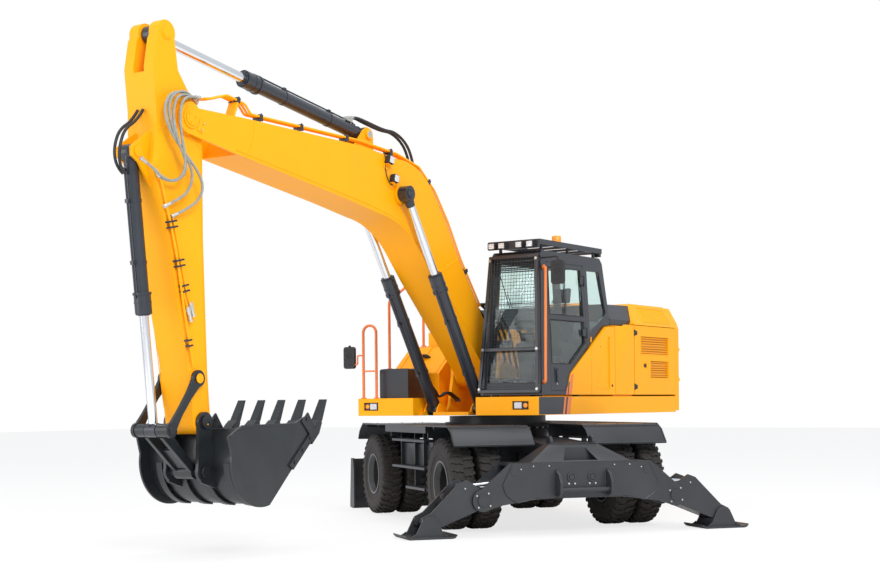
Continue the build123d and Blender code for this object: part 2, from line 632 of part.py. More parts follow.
# ---- fenders: bent plates over the wheels, one on each side, hung from the frame
FENDER_INNER = 330.0
FENDER_OUTER = 1270.0
FENDER_LINE = (  # x, height below the top
    (-2080, 210), (-1960, 60), (-1850, 0), (-1050, 0), (450, 0), (1700, 0), (1860, 100), (1930, 200))
with BuildPart() as fenders:
    top = [(x, FENDER_Z - drop) for x, drop in FENDER_LINE]
    under = [(x, z - SHEET) for x, z in reversed(top)]
    for low, high in mirrored_y(FENDER_INNER, FENDER_OUTER):
        slab(top + under, low, high)
    for low, high in mirrored_y(FENDER_OUTER - SHEET, FENDER_OUTER):
        box_between((-1050, 620), (low, high), (FENDER_Z - 90, FENDER_Z - 2))
    for low, high in mirrored_y(FRAME_HALF, FENDER_OUTER - 60):
        for x in (-960, 560):
            slab(((x, FENDER_Z - SHEET), (x + 20, FENDER_Z - SHEET), (x + 20, FENDER_Z - 150),
                  (x, FENDER_Z - 150)), low, high)
    with BuildSketch(Plane.XY.offset(FENDER_Z - 200)):
        Circle(TURRET_RADIUS + 40)
    extrude(amount=300, mode=Mode.SUBTRACT)
keep(fenders, "fenders", CHASSIS)

# ---- steps between the wheels on both sides: hangers and three treads, with a tank behind
STEP_TREADS = (  # x low, x high, z
    (-900, 420, 960), (-900, 420, 640), (-900, -150, 400))
with BuildPart() as access_steps:
    for sign in (1, -1):
        for low, high, z in STEP_TREADS:
            near, far = sorted((sign * 1040, sign * 1240))
            box_between((low, high), (near, far), (z, z + 28))
        for x, bottom in ((-900, 400), (-520, 640), (-168, 400), (400, 640)):
            near, far = sorted((sign * 1060, sign * 1125))
            box_between((x, x + 20), (near, far), (bottom + 1, FENDER_Z - SHEET - 1))
        near, far = sorted((sign * (FRAME_HALF + 1), sign * 1085))
        box_between((-890, 410), (near, far), (650, 930))
keep(access_steps, "fenders", CHASSIS)

# ---- slewing ring
with BuildPart() as slew_ring:
    with BuildSketch(Plane.XY.offset(RING_BOTTOM)):
        Circle(TURRET_RADIUS + 10)
        Circle(TURRET_RADIUS - 130, mode=Mode.SUBTRACT)
    extrude(amount=60)
    with BuildSketch(Plane.XY.offset(RING_BOTTOM + 60)):
        Circle(TURRET_RADIUS - 45)
        Circle(TURRET_RADIUS - 130, mode=Mode.SUBTRACT)
    extrude(amount=DECK_BOTTOM - RING_BOTTOM - 75)
keep(slew_ring, "chassis_frame", CHASSIS)


# ================================================================ upper structure
TUBE_RADIUS = 17.0


def tube(points, bend, radius=TUBE_RADIUS):
    """A round tube through these points, its corners bent to one radius."""
    with BuildLine() as path:
        FilletPolyline(*points, radius=bend)
    with BuildSketch(Plane(origin=path.line @ 0, z_dir=path.line % 0)) as section:
        Circle(radius)
    sweep(section.sketch, path=path.line)


# ---- revolving frame: centre plate, boom brackets, two platforms with their sills
FOOT_BOSS = 165.0
CYLINDER_EYE = 148.0
CYLINDER_EYE_RADIUS = 76.0
LUG = 18.0
LAMP_RECESS = (150.0, 84.0, 26.0)
LAMP_SPOTS = (  # y of the middle of each head lamp recess
    1035.0, -1075.0)
with BuildPart() as upper_frame:
    box_between((-2300, 1050), (-600, 600), (DECK_BOTTOM, DECK_BOTTOM + PANEL))
    for low, high in ((LEFT_BAY, DECK_HALF), (-DECK_HALF, RIGHT_BAY)):
        box_between((COUNTERWEIGHT_FRONT + SEAM, DECK_FRONT), (low, high), (DECK_BOTTOM, DECK_TOP))
    foot_x, foot_z = BOOM_FOOT
    for low, high in mirrored_y(BRACKET_INNER, BRACKET_INNER + BRACKET_THICKNESS):
        slab(((-2300, DECK_BOTTOM + 10), (-2300, 1420), (MID_SEAM, 1420),
              (foot_x - 260, foot_z + 60),
              (foot_x - 120, foot_z + 130), (foot_x + 110, foot_z + 130), (foot_x + 170, foot_z - 40),
              (foot_x + 250, DECK_BOTTOM + 120), (foot_x + 330, DECK_BOTTOM + 10)), low, high)
    bar_along_y(foot_x, foot_z, FOOT_BOSS - 25, BRACKET_INNER, BRACKET_INNER + BRACKET_THICKNESS + 22)
    bar_along_y(foot_x, foot_z, FOOT_BOSS - 25, -BRACKET_INNER - BRACKET_THICKNESS - 22, -BRACKET_INNER)
    bar_along_y(foot_x, foot_z, PIN_RADIUS + 8, -BRACKET_INNER - 10, BRACKET_INNER + 10)
    base_x, base_z = BOOM_CYLINDER_PIN
    eye_low = BOOM_CYLINDER_Y - CYLINDER_EYE / 2 - SIDE_CLEARANCE
    eye_high = BOOM_CYLINDER_Y + CYLINDER_EYE / 2 + SIDE_CLEARANCE
    for low, high in mirrored_y(eye_low, eye_high):
        box_between((base_x - CYLINDER_EYE_RADIUS - 14, DECK_FRONT), (low, high),
                    (DECK_BOTTOM - 1, DECK_TOP + 1), Mode.SUBTRACT)
        bar_along_y(base_x, base_z, PIN_RADIUS, low - LUG, high + LUG)
    for inner in (eye_low - LUG, eye_high):
        for low, high in mirrored_y(inner, inner + LUG):
            slab(((base_x - 130, DECK_BOTTOM), (base_x + 130, DECK_BOTTOM), (base_x + 90, base_z + 20),
                  (base_x + 40, base_z + 72), (base_x - 40, base_z + 72),
                  (base_x - 90, base_z + 20)), low, high)
    width, height, depth = LAMP_RECESS
    for y in LAMP_SPOTS:
        box_between((DECK_FRONT - depth, DECK_FRONT + 1), (y - width / 2 - 35, y + width / 2 + 35),
                    (DECK_BOTTOM + 62, DECK_BOTTOM + 62 + height + 14), Mode.SUBTRACT)
keep(upper_frame, "upper_frame", UPPER)

# ---- head lamps with their indicators, set in the recesses
with BuildPart() as head_lamps:
    for y in LAMP_SPOTS:
        turn = -1 if y > 0 else 1
        box_between((DECK_FRONT - depth, DECK_FRONT - depth + 10), (y - width / 2 - 30, y + width / 2 + 30),
                    (DECK_BOTTOM + 66, DECK_BOTTOM + 66 + height + 6))
        box_between((DECK_FRONT - depth + 10, DECK_FRONT - 4), (y + turn * -80, y + turn * 12),
                    (DECK_BOTTOM + 76, DECK_BOTTOM + 66 + height - 4))
        with BuildSketch(Plane.YZ.offset(DECK_FRONT - depth + 10)):
            with Locations((y + turn * 60, DECK_BOTTOM + 76 + (height - 14) / 2)):
                Circle(28)
        extrude(amount=14)
keep(head_lamps, "lamps", UPPER)

# ---- counterweight: rounded tail with the same top bevel as the hood
with BuildPart() as counterweight:
    with BuildSketch(Plane.XY.offset(DECK_BOTTOM + 20)):
        with BuildLine():
            Polyline((COUNTERWEIGHT_SIDE, DECK_HALF - 50), (COUNTERWEIGHT_SIDE + 50, DECK_HALF),
                     (COUNTERWEIGHT_FRONT, DECK_HALF), (COUNTERWEIGHT_FRONT, -DECK_HALF),
                     (COUNTERWEIGHT_SIDE + 50, -DECK_HALF), (COUNTERWEIGHT_SIDE, -DECK_HALF + 50))
            ThreePointArc((COUNTERWEIGHT_SIDE, -DECK_HALF + 50), (COUNTERWEIGHT_REAR, 0),
                          (COUNTERWEIGHT_SIDE, DECK_HALF - 50))
        make_face()
    extrude(amount=HOOD_TOP - DECK_BOTTOM - 30)
    lower = counterweight.faces().sort_by(Axis.Z)[0]
    chamfer(lower.edges().filter_by(lambda edge: edge.center().X < COUNTERWEIGHT_SIDE + 20), 45)
    for sign in (1, -1):
        with BuildSketch(cross_plane(COUNTERWEIGHT_REAR - 10)):
            with BuildLine():
                Polyline((sign * (DECK_HALF + 1), SIDE_TOP), (sign * (HOOD_HALF - 6), HOOD_TOP + 1),
                         (sign * (DECK_HALF + 1), HOOD_TOP + 1), close=True)
            make_face()
        extrude(amount=400, mode=Mode.SUBTRACT)
keep(counterweight, "counterweight", UPPER)

# ---- engine housing: firewall, side panels behind the cab and tank, roof between cab and hood
PANEL_IN = DECK_HALF - PANEL
with BuildPart() as engine_housing:
    box_between((HOOD_SEAM, MID_SEAM - SEAM), (-PANEL_IN, PANEL_IN), (DECK_TOP, SIDE_TOP - 20))
    for low, high in mirrored_y(PANEL_IN, DECK_HALF):
        slab(((MID_SEAM - SEAM, PANEL_BOTTOM), (MID_SEAM - SEAM, SIDE_TOP - 25),
              (MID_SEAM - 250, SIDE_TOP - 25), (MID_SEAM - 300, SIDE_TOP), (HOOD_SEAM + SEAM, SIDE_TOP),
              (HOOD_SEAM + SEAM, PANEL_BOTTOM)), low, high)
keep(engine_housing, "engine_housing", UPPER)

# ---- dark cowl in front of the hood and lifted with it, its rear lying on the hood's slanted front
HOOD_FRONT = ((HOOD_SEAM, SIDE_TOP + SEAM), (HOOD_SEAM - 230, HOOD_TOP + 1))
with BuildPart() as rear_cowl:
    with BuildSketch(side_plane(PANEL_IN - 30)):
        with BuildLine():
            Polyline((MID_SEAM - SEAM, SIDE_TOP - 14), (MID_SEAM - SEAM, HOOD_TOP - 40),
                     (HOOD_SEAM - 240, HOOD_TOP - 25), (HOOD_SEAM - 60, SIDE_TOP + 14),
                     (HOOD_SEAM + SEAM, SIDE_TOP + 14), (HOOD_SEAM + 260, SIDE_TOP - 14), close=True)
        make_face()
    extrude(amount=2 * (PANEL_IN - 30))
    for sign in (1, -1):
        with BuildSketch(cross_plane(HOOD_SEAM - 250)):
            with BuildLine():
                Polyline((sign * DECK_HALF, SIDE_TOP - 60), (sign * (HOOD_HALF - 30), HOOD_TOP + 1),
                         (sign * DECK_HALF, HOOD_TOP + 1), close=True)
            make_face()
        extrude(amount=900, mode=Mode.SUBTRACT)
    slab(((HOOD_SEAM, SIDE_TOP), *HOOD_FRONT, (HOOD_SEAM - 400, HOOD_TOP + 1), (HOOD_SEAM - 400, SIDE_TOP)),
         -DECK_HALF, DECK_HALF, Mode.SUBTRACT)
    slab(((MID_SEAM - SEAM - 22, SIDE_TOP - 15), (MID_SEAM - SEAM - 22, HOOD_TOP - 62),
          (HOOD_SEAM - 150, HOOD_TOP - 50), (HOOD_SEAM + 75, SIDE_TOP + 45), (HOOD_SEAM + 270, SIDE_TOP + 20),
          (HOOD_SEAM + 270, SIDE_TOP - 15)), 60 - HOOD_HALF, HOOD_HALF - 60, Mode.SUBTRACT)
keep(rear_cowl, "rear_cowl", UPPER)

# ---- engine hood: bevelled shell over the engine bay, hinged on its rear edge
HOOD_WALL = 26.0
HOOD_REAR = COUNTERWEIGHT_FRONT + SEAM


def hood_block(inset):
    """The hood's outer form, or the same form a wall thickness smaller."""
    with BuildPart() as block:
        with BuildSketch(cross_plane(HOOD_REAR)):
            with BuildLine():
                Polyline((DECK_HALF - inset, SIDE_TOP + SEAM - inset), (HOOD_HALF - inset / 2, HOOD_TOP - inset),
                         (-HOOD_HALF + inset / 2, HOOD_TOP - inset),
                         (-DECK_HALF + inset, SIDE_TOP + SEAM - inset), close=True)
            make_face()
        extrude(amount=HOOD_SEAM - HOOD_REAR - SEAM)
        slab(((HOOD_SEAM - inset, SIDE_TOP - 30), (HOOD_SEAM - inset, SIDE_TOP + SEAM - inset),
              (HOOD_SEAM - 230 - inset, HOOD_TOP + 1), (HOOD_SEAM + 10, HOOD_TOP + 1),
              (HOOD_SEAM + 10, SIDE_TOP - 30)), -DECK_HALF - 1, DECK_HALF + 1, Mode.SUBTRACT)
    return block.part


with BuildPart() as engine_hood:
    add(hood_block(0))
    add(hood_block(HOOD_WALL), mode=Mode.SUBTRACT)
    box_between((HOOD_SEAM - 700, HOOD_SEAM - 400), (-250, 250), (HOOD_TOP, HOOD_TOP + 55))
keep(engine_hood, "engine_hood", UPPER)


# ---- side doors: a louvred door over the engine bay on each side, hinged at the hood seam
LOUVRES = (  # x rear, x front, z bottom, z top, slats
    (-2230, -1440, 2020, 2240, 7), (-2230, -1710, 1720, 1930, 7))
LATCH = (90.0, 60.0)


def make_side_door(sign):
    """Flat door with two louvred openings and a recessed latch."""
    outer = sign * DECK_HALF
    inner = sign * PANEL_IN
    low, high = sorted((inner, outer))
    with BuildPart() as door:
        box_between((COUNTERWEIGHT_FRONT + SEAM, HOOD_SEAM - SEAM), (low, high), (PANEL_BOTTOM, SIDE_TOP))
        for rear, front, bottom, top, slats in LOUVRES:
            box_between((rear, front), (low - 1, high + 1), (bottom, top), Mode.SUBTRACT)
            pitch = (top - bottom) / slats
            for step in range(slats):
                z = bottom + (step + 0.5) * pitch
                box_between((rear - 1, front + 1), (low + 8, high - 8), (z - 5, z + 5))
        box_between((-1600, -1600 + LATCH[0]), sorted((sign * (DECK_HALF - 14), sign * (DECK_HALF + 1))),
                    (1840, 1840 + LATCH[1]), Mode.SUBTRACT)
    return door


for side, sign in (("left", 1), ("right", -1)):
    keep(make_side_door(sign), "engine_door_" + side, UPPER)

# ---- compartment door under the rear of the cab, and the fixed corner panel before it
CAB_DIAGONAL = ((400.0, 1750.0), (-500.0, 2340.0))  # x, z of its ends


def on_diagonal(x, below=0.0):
    """Height of the cab's sloping lower edge at x."""
    (x0, z0), (x1, z1) = CAB_DIAGONAL
    return z0 + (x - x0) * (z1 - z0) / (x1 - x0) - below


DOOR_PANEL_GAP = 10.0
with BuildPart() as battery_door:
    slab(((FRONT_SEAM - SEAM, PANEL_BOTTOM), (FRONT_SEAM - SEAM, on_diagonal(FRONT_SEAM, DOOR_PANEL_GAP)),
          (CAB_DIAGONAL[1][0], CAB_DIAGONAL[1][1] - DOOR_PANEL_GAP), (MID_SEAM, SIDE_TOP - 40),
          (MID_SEAM, PANEL_BOTTOM)), PANEL_IN, DECK_HALF)
    slab(((-230, PANEL_BOTTOM + 90), (-270, PANEL_BOTTOM + 70), (-580, PANEL_BOTTOM + 70),
          (-580, 2210), (-540, 2210)), DECK_HALF - 12, DECK_HALF + 1, Mode.SUBTRACT)
keep(battery_door, "battery_door", UPPER)
with BuildPart() as corner_panel:
    slab(((515, PANEL_BOTTOM), (CAB_DIAGONAL[0][0], CAB_DIAGONAL[0][1] - DOOR_PANEL_GAP),
          (FRONT_SEAM, on_diagonal(FRONT_SEAM, DOOR_PANEL_GAP)), (FRONT_SEAM, PANEL_BOTTOM)),
         PANEL_IN + 14, DECK_HALF)
keep(corner_panel, "engine_housing", UPPER)

# ---- engine and pump as one plain block
with BuildPart() as engine_block:
    box_between((-2280, -1420), (-425, 425), (1430, 2280))
keep(engine_block, "engine_block", UPPER)

# ---- right side: tool box with a step, fuel tank and oil tank up to the housing
with BuildPart() as tool_box:
    box_between((560, 1000), (-1070, -645), (DECK_TOP, 1830))
    box_between((575, 985), (-1060, -655), (1830, 1838))
keep(tool_box, "tool_box", UPPER)
with BuildPart() as fuel_tank:
    slab(((540, DECK_TOP), (540, 1790), (140, 2120), (-240, 2150), (-240, DECK_TOP)), -1215, -500)
    fillet(fuel_tank.edges().filter_by(Axis.Y), 30)
keep(fuel_tank, "tanks", UPPER)
with BuildPart() as oil_tank:
    box_between((MID_SEAM + 10, -252), (-1215, -500), (DECK_TOP, 2330))
    fillet(oil_tank.edges().filter_by(Axis.Z), 40)
    with Locations((-420, -760, 2345)):
        Cylinder(60, 30)
keep(oil_tank, "tanks", UPPER)

# ---- hand rails of the right side, with the arm of the front mirror
RIGHT_RAIL_Y = -1040.0
with BuildPart() as handrails:
    tube(((1100, -1045, DECK_TOP), (1100, -1045, 2370), (1100, -1240, 2370), (1100, -1240, DECK_TOP)), 90)
    box_between((1090, 1110), (-1225, -1060), (1805, 1825))
    tube(((830, RIGHT_RAIL_Y, 1838), (830, RIGHT_RAIL_Y, 2680), (330, RIGHT_RAIL_Y, 2950),
          (90, RIGHT_RAIL_Y, 2950), (90, RIGHT_RAIL_Y, 2140)), 80)
    tube(((1100, -1256, 2010), (1100, -1330, 2010), (1100, -1330, 1900), (1100, -1367.5, 1900)), 18, 10)
keep(handrails, "handrails", UPPER)

# ---- mirrors
MIRROR = (40.0, 165.0, 270.0)
with BuildPart() as mirror_right:
    with Locations((1100, -1450, 1985)):
        Box(*MIRROR)
    fillet(mirror_right.edges().filter_by(Axis.X), 35)
keep(mirror_right, "mirrors", UPPER)


# ================================================================ cab
CAB_OUTLINE = (  # x, z of the cab's side, from the front of the floor round to the back of it
    (1080, CAB_FLOOR), (930, CAB_ROOF - 30), (900, CAB_ROOF), (-500, CAB_ROOF + 5), (-560, CAB_ROOF - 60),
    (-680, 2380), (-640, 2350), (-500, 2345), (FRONT_SEAM, on_diagonal(FRONT_SEAM)),
    (FRONT_SEAM, CAB_FLOOR))
DOOR_OUTLINE = (
    (865, 1545), (825, 3035), (-55, 3045), (-75, 2085), (350, 1812), (450, 1700), (540, 1545))
DOOR_WINDOWS = (
    ((800, 2430), (782, 2975), (10, 2985), (-8, 2430)),
    ((808, 1860), (800, 2370), (-10, 2370), (-12, 2115), (370, 1860)))
QUARTER_WINDOW = ((-150, 2225), (-150, 2990), (-460, 2995), (-585, 2500), (-545, 2455))
RIGHT_WINDOW = ((850, 1700), (800, 3040), (-440, 3045), (-565, 2470), (-60, 2150), (60, 1700))
FRONT_WINDOW = (  # y, z
    (CAB_INNER_Y + 75, 1640), (DECK_HALF - 75, 1640), (DECK_HALF - 147, 3050), (CAB_INNER_Y + 147, 3050))
REAR_WINDOW = (
    (CAB_INNER_Y + 100, 2430), (DECK_HALF - 95, 2430), (DECK_HALF - 140, 3060), (CAB_INNER_Y + 145, 3060))
SIDE_CUT = (DECK_HALF - 185, DECK_HALF + 35)  # y range that takes in the whole leaning side
LEAN_ANGLE = math.degrees(math.atan2(CAB_LEAN, CAB_ROOF - CAB_FLOOR))
DOOR_THICKNESS = 44.0
PANE_DEPTH = 18.0


def cab_block(inset):
    """The cab's outer form, or the same form this much smaller all round."""
    with BuildPart() as block:
        with BuildSketch(side_plane(DECK_HALF)):
            with BuildLine():
                Polyline(*CAB_OUTLINE, close=True)
            make_face()
            if inset:
                offset(amount=-inset, kind=Kind.INTERSECTION)
        extrude(amount=DECK_HALF - CAB_INNER_Y)
        for y, sign in ((DECK_HALF, 1), (CAB_INNER_Y, -1)):
            lean = math.radians(LEAN_ANGLE)
            normal = (0, sign * math.cos(lean), math.sin(lean))
            origin = (0, y - inset * normal[1], CAB_FLOOR - inset * normal[2])
            split(bisect_by=Plane(origin=origin, z_dir=normal), keep=Keep.BOTTOM)
    return block.part


def cut_windows(mode):
    """Prisms through the cab's walls at every fixed window."""
    slab(QUARTER_WINDOW, *SIDE_CUT, mode)
    slab(RIGHT_WINDOW, CAB_INNER_Y - 20, CAB_INNER_Y + 160, mode)
    for outline, x_low, x_high in ((FRONT_WINDOW, 800, 1150), (REAR_WINDOW, -700, -440)):
        with BuildSketch(cross_plane(x_low)) as across:
            with BuildLine():
                Polyline(*outline, close=True)
            make_face()
        extrude(across.sketch, amount=x_high - x_low, mode=mode)


CAB_SKIN = cab_block(0)
CAB_ROOM = cab_block(CAB_WALL)
with BuildPart() as cab_shell:
    add(CAB_SKIN)
    add(CAB_ROOM, mode=Mode.SUBTRACT)
    cut_windows(Mode.SUBTRACT)
    slab(DOOR_OUTLINE, *SIDE_CUT, Mode.SUBTRACT)
    slab(((FRONT_SEAM - 1, CAB_FLOOR - 1), (FRONT_SEAM - 1, on_diagonal(FRONT_SEAM - 1)),
          CAB_DIAGONAL[0], (522, CAB_FLOOR - 1)), PANEL_IN + 8, DECK_HALF + 1, Mode.SUBTRACT)
    for x in (940, 60):
        for y in (560, 1140):
            with Locations((x, y, (DECK_TOP + CAB_FLOOR) / 2)):
                Cylinder(45, CAB_FLOOR - DECK_TOP)
keep(cab_shell, "cab_shell", UPPER)

with BuildPart() as windows:
    cut_windows(Mode.ADD)
with BuildPart() as cab_glass:
    add(cab_block(PANE_DEPTH))
    add(cab_block(PANE_DEPTH + GLASS), mode=Mode.SUBTRACT)
    add(windows.part, mode=Mode.INTERSECT)
keep(cab_glass, "cab_glass", UPPER)

with BuildPart() as door_edge:  # the outline a gap smaller all round
    with BuildSketch(side_plane(SIDE_CUT[1])):
        with BuildLine():
            Polyline(*DOOR_OUTLINE, close=True)
        make_face()
        offset(amount=-DOOR_GAP, kind=Kind.INTERSECTION)
    extrude(amount=SIDE_CUT[1] - SIDE_CUT[0])
with BuildPart() as door_openings:
    for outline in DOOR_WINDOWS:
        slab(outline, *SIDE_CUT)
with BuildPart() as cab_door:
    add(CAB_SKIN)
    add(cab_block(DOOR_THICKNESS), mode=Mode.SUBTRACT)
    add(door_edge.part, mode=Mode.INTERSECT)
    add(door_openings.part, mode=Mode.SUBTRACT)
keep(cab_door, "cab_door", UPPER)
with BuildPart() as door_glass:
    add(cab_block(PANE_DEPTH))
    add(cab_block(PANE_DEPTH + GLASS), mode=Mode.SUBTRACT)
    add(door_openings.part, mode=Mode.INTERSECT)
keep(door_glass, "door_glass", UPPER)

# ---- operator's seat, side consoles and steering column
SEAT_Y = (CAB_INNER_Y + DECK_HALF) / 2
FLOOR_TOP = CAB_FLOOR + CAB_WALL
with BuildPart() as seat:
    box_between((0, 380), (SEAT_Y - 190, SEAT_Y + 190), (FLOOR_TOP + 1, 1840))
    box_between((0, 440), (SEAT_Y - 235, SEAT_Y + 235), (1840, 1960))
    slab(((110, 1955), (0, 1955), (-30, 2160), (-150, 2560), (-50, 2580)), SEAT_Y - 225, SEAT_Y + 225)
    slab(((-60, 2600), (-140, 2590), (-190, 2800), (-115, 2815)), SEAT_Y - 130, SEAT_Y + 130)
    slab(((-85, 2570), (-105, 2560), (-125, 2610), (-105, 2615)), SEAT_Y - 60, SEAT_Y + 60)
keep(seat, "cab_interior", UPPER)
with BuildPart() as consoles:
    for low, high in ((SEAT_Y - 330, SEAT_Y - 245), (SEAT_Y + 241, SEAT_Y + 278)):
        slab(((0, FLOOR_TOP + 1), (360, FLOOR_TOP + 1), (420, 2080), (400, 2130), (0, 2080)), low, high)
    slab(((700, FLOOR_TOP + 1), (820, FLOOR_TOP + 1), (700, 2210), (610, 2230)), SEAT_Y - 70, SEAT_Y + 70)
    wheel_at = Plane(origin=(630, SEAT_Y, 2262), z_dir=(-0.5, 0, 0.85))
    with BuildSketch(wheel_at):
        Circle(190)
        Circle(162, mode=Mode.SUBTRACT)
        Rectangle(330, 36)
        Circle(46)
    extrude(amount=26)
keep(consoles, "cab_interior", UPPER)

# ---- guard in front of the windscreen: frame with a cross bar, standing off the cab on blocks
FRONT_PLANE = Plane(origin=(1080, 0, CAB_FLOOR), x_dir=(0, 1, 0),
                    z_dir=(CAB_ROOF - 30 - CAB_FLOOR, 0, 150))
GUARD_STANDOFF = 46.0
GUARD_BAR = 34.0
GUARD_OUTLINE = (  # y and height up the front
    (CAB_INNER_Y + 8, 20), (DECK_HALF - 9, 20), (DECK_HALF - 93, 1610), (CAB_INNER_Y + 92, 1610))
with BuildPart() as front_guard:
    with BuildSketch(FRONT_PLANE.offset(GUARD_STANDOFF)):
        with BuildLine():
            Polyline(*GUARD_OUTLINE, close=True)
        make_face()
        offset(amount=-GUARD_BAR, kind=Kind.INTERSECTION, mode=Mode.SUBTRACT)
        with Locations((SEAT_Y, 520)):
            Rectangle(740, GUARD_BAR)
    extrude(amount=30)
    with BuildSketch(FRONT_PLANE):
        for height, half in ((60, 386), (520, 362), (1560, 308)):
            with Locations((SEAT_Y - half, height), (SEAT_Y + half, height)):
                Rectangle(26, 40)
    extrude(amount=GUARD_STANDOFF)
keep(front_guard, "front_guard", UPPER)

# ---- roof rack with work lamps, beacon, grab rail and cab mirror
RACK_Z = CAB_ROOF + 62
RACK_X = (-520.0, 990.0)
RACK_Y = (510.0, 1200.0)
with BuildPart() as roof_rack:
    box_between(RACK_X, RACK_Y, (RACK_Z, RACK_Z + 26))
    box_between((RACK_X[0] + 40, RACK_X[1] - 120), (RACK_Y[0] + 40, RACK_Y[1] - 40),
                (RACK_Z - 1, RACK_Z + 27), Mode.SUBTRACT)
    for x in (-250, 50, 350, 650):
        box_between((x - 20, x + 20), (RACK_Y[0] + 1, RACK_Y[1] - 1), (RACK_Z, RACK_Z + 26))
    for x in (-440, 200, 820):
        for y in (575, 1120):
            box_between((x - 14, x + 14), (y - 14, y + 14), (CAB_ROOF + 5, RACK_Z + 1))
    box_between((RACK_X[1] - 12, RACK_X[1]), RACK_Y, (RACK_Z - 36, RACK_Z + 60))
    for y in (RACK_Y[0], RACK_Y[1] - 10):
        box_between((RACK_X[0], RACK_X[1]), (y, y + 10), (RACK_Z, RACK_Z + 60))
keep(roof_rack, "roof_rack", UPPER)
ROOF_LAMPS = (585.0, 720.0, 950.0, 1095.0)
LAMP = (50.0, 96.0, 78.0)
with BuildPart() as roof_lamps:
    for y in ROOF_LAMPS:
        box_between((RACK_X[1], RACK_X[1] + LAMP[0]), (y - LAMP[1] / 2, y + LAMP[1] / 2),
                    (RACK_Z - 34, RACK_Z - 34 + LAMP[2]))
    box_between((RACK_X[0] - LAMP[0], RACK_X[0]), (1110 - LAMP[1] / 2, 1110 + LAMP[1] / 2),
                (RACK_Z - 30, RACK_Z + 44))
keep(roof_lamps, "lamps", UPPER)
with BuildPart() as beacon:
    with BuildSketch(Plane.XY.offset(RACK_Z + 26)):
        with Locations((350, 1060)):
            Circle(62)
    extrude(amount=24)
    with BuildSketch(Plane.XY.offset(RACK_Z + 50)):
        with Locations((350, 1060)):
            Circle(52)
    extrude(amount=100)
    fillet(beacon.faces().sort_by(Axis.Z)[-1].edges(), 16)
keep(beacon, "lamps", UPPER)
with BuildPart() as grab_rail:
    tube(((1020, 1225, 1640), (1060, 1300, 1640), (930, 1240, 2960), (905, 1190, 2960)), 24)
    add(CAB_SKIN, mode=Mode.SUBTRACT)
keep(grab_rail, "handrails", UPPER)
with BuildPart() as mirror_left:
    with Locations((960, 1420, 2890)):
        Box(*MIRROR)
    fillet(mirror_left.edges().filter_by(Axis.X), 35)
    tube(((960, 1420, 3024), (960, 1420, 3070), (900, 1150, 3070), (880, 1120, 3070)), 20, 10)
    add(CAB_SKIN, mode=Mode.SUBTRACT)
keep(mirror_left, "mirrors", UPPER)


# ================================================================ working line
BOOM_HALF = BOOM_WIDTH / 2
ARM_HALF = ARM_WIDTH / 2
TIP_BOSS = 150.0
TIP_EAR = BOOM_HALF - ARM_HALF - SIDE_CLEARANCE - 24
ROD_EYE = 116.0
ROD_EYE_RADIUS = 84.0
BOOM_UPPER_EDGE = (  # x, z along the top of the boom, from the foot
    (1240, 860), (1640, 1130), (2000, 1320))
BOOM_KNEE = ((2000, 1320), (2360, 1420), (2760, 1335))
BOOM_TOP_RUN = ((2760, 1335), (3400, 1120), (BOOM_LENGTH - 650, 400))
BOOM_LOWER_RUN = ((BOOM_LENGTH - 600, 0), (3400, 475), (2800, 625))
BOOM_HOLLOW = ((2800, 625), (2400, 680), (2000, 590))
BOOM_LOWER_EDGE = ((2000, 590), (1650, 440), (60, -150))
FORK_ROOT = BOOM_LENGTH - 690.0

with BuildPart() as boom:
    with BuildSketch(side_plane(BOOM_HALF)):
        with BuildLine():
            Polyline((-60, 150), *BOOM_UPPER_EDGE)
            ThreePointArc(*BOOM_KNEE)
            Polyline(*BOOM_TOP_RUN, (BOOM_LENGTH - 60, TIP_BOSS - 12), (BOOM_LENGTH - 60, -TIP_BOSS + 12),
                     *BOOM_LOWER_RUN)
            ThreePointArc(*BOOM_HOLLOW)
            Polyline(*BOOM_LOWER_EDGE, (-60, 150))
        make_face()
        with Locations((BOOM_LENGTH, 0)):
            Circle(TIP_BOSS)
    extrude(amount=BOOM_WIDTH)
    # fork for the arm, closed at its root by a round plate
    fork = ARM_HALF + SIDE_CLEARANCE + 24
    box_between((FORK_ROOT, BOOM_LENGTH + 300), (-fork, fork), (-400, 700), Mode.SUBTRACT)
    bar_along_y(0, 0, FOOT_BOSS, -BRACKET_INNER + SIDE_CLEARANCE, BRACKET_INNER - SIDE_CLEARANCE)
    bar_along_y(0, 0, PIN_RADIUS + 8 + PIN_CLEARANCE, -BOOM_WIDTH, BOOM_WIDTH, Mode.SUBTRACT)
    bar_along_y(BOOM_LENGTH, 0, PIN_RADIUS + 6, -BOOM_HALF - 14, BOOM_HALF + 14)
    for low, high in mirrored_y(BOOM_HALF, BOOM_HALF + 12):
        bar_along_y(BOOM_LENGTH, 0, 96, low, high)
    rod_x, rod_z = BOOM_ROD_PIN
    boss_face = BOOM_CYLINDER_Y - ROD_EYE / 2 - SIDE_CLEARANCE
    for low, high in mirrored_y(BOOM_HALF, boss_face):
        bar_along_y(rod_x, rod_z, 112, low, high)
    lug_x, lug_z = ARM_CYLINDER_PIN
    for low, high in mirrored_y(80, 106):
        slab(((lug_x - 230, 1120), (lug_x - 70, lug_z + 50), (lug_x - 20, lug_z + 75),
              (lug_x + 50, lug_z + 62), (lug_x + 90, lug_z), (lug_x + 190, 1080)), low, high)
    bar_along_y(lug_x, lug_z, PIN_RADIUS, -116, 116)
keep(boom, "boom", BOOM)

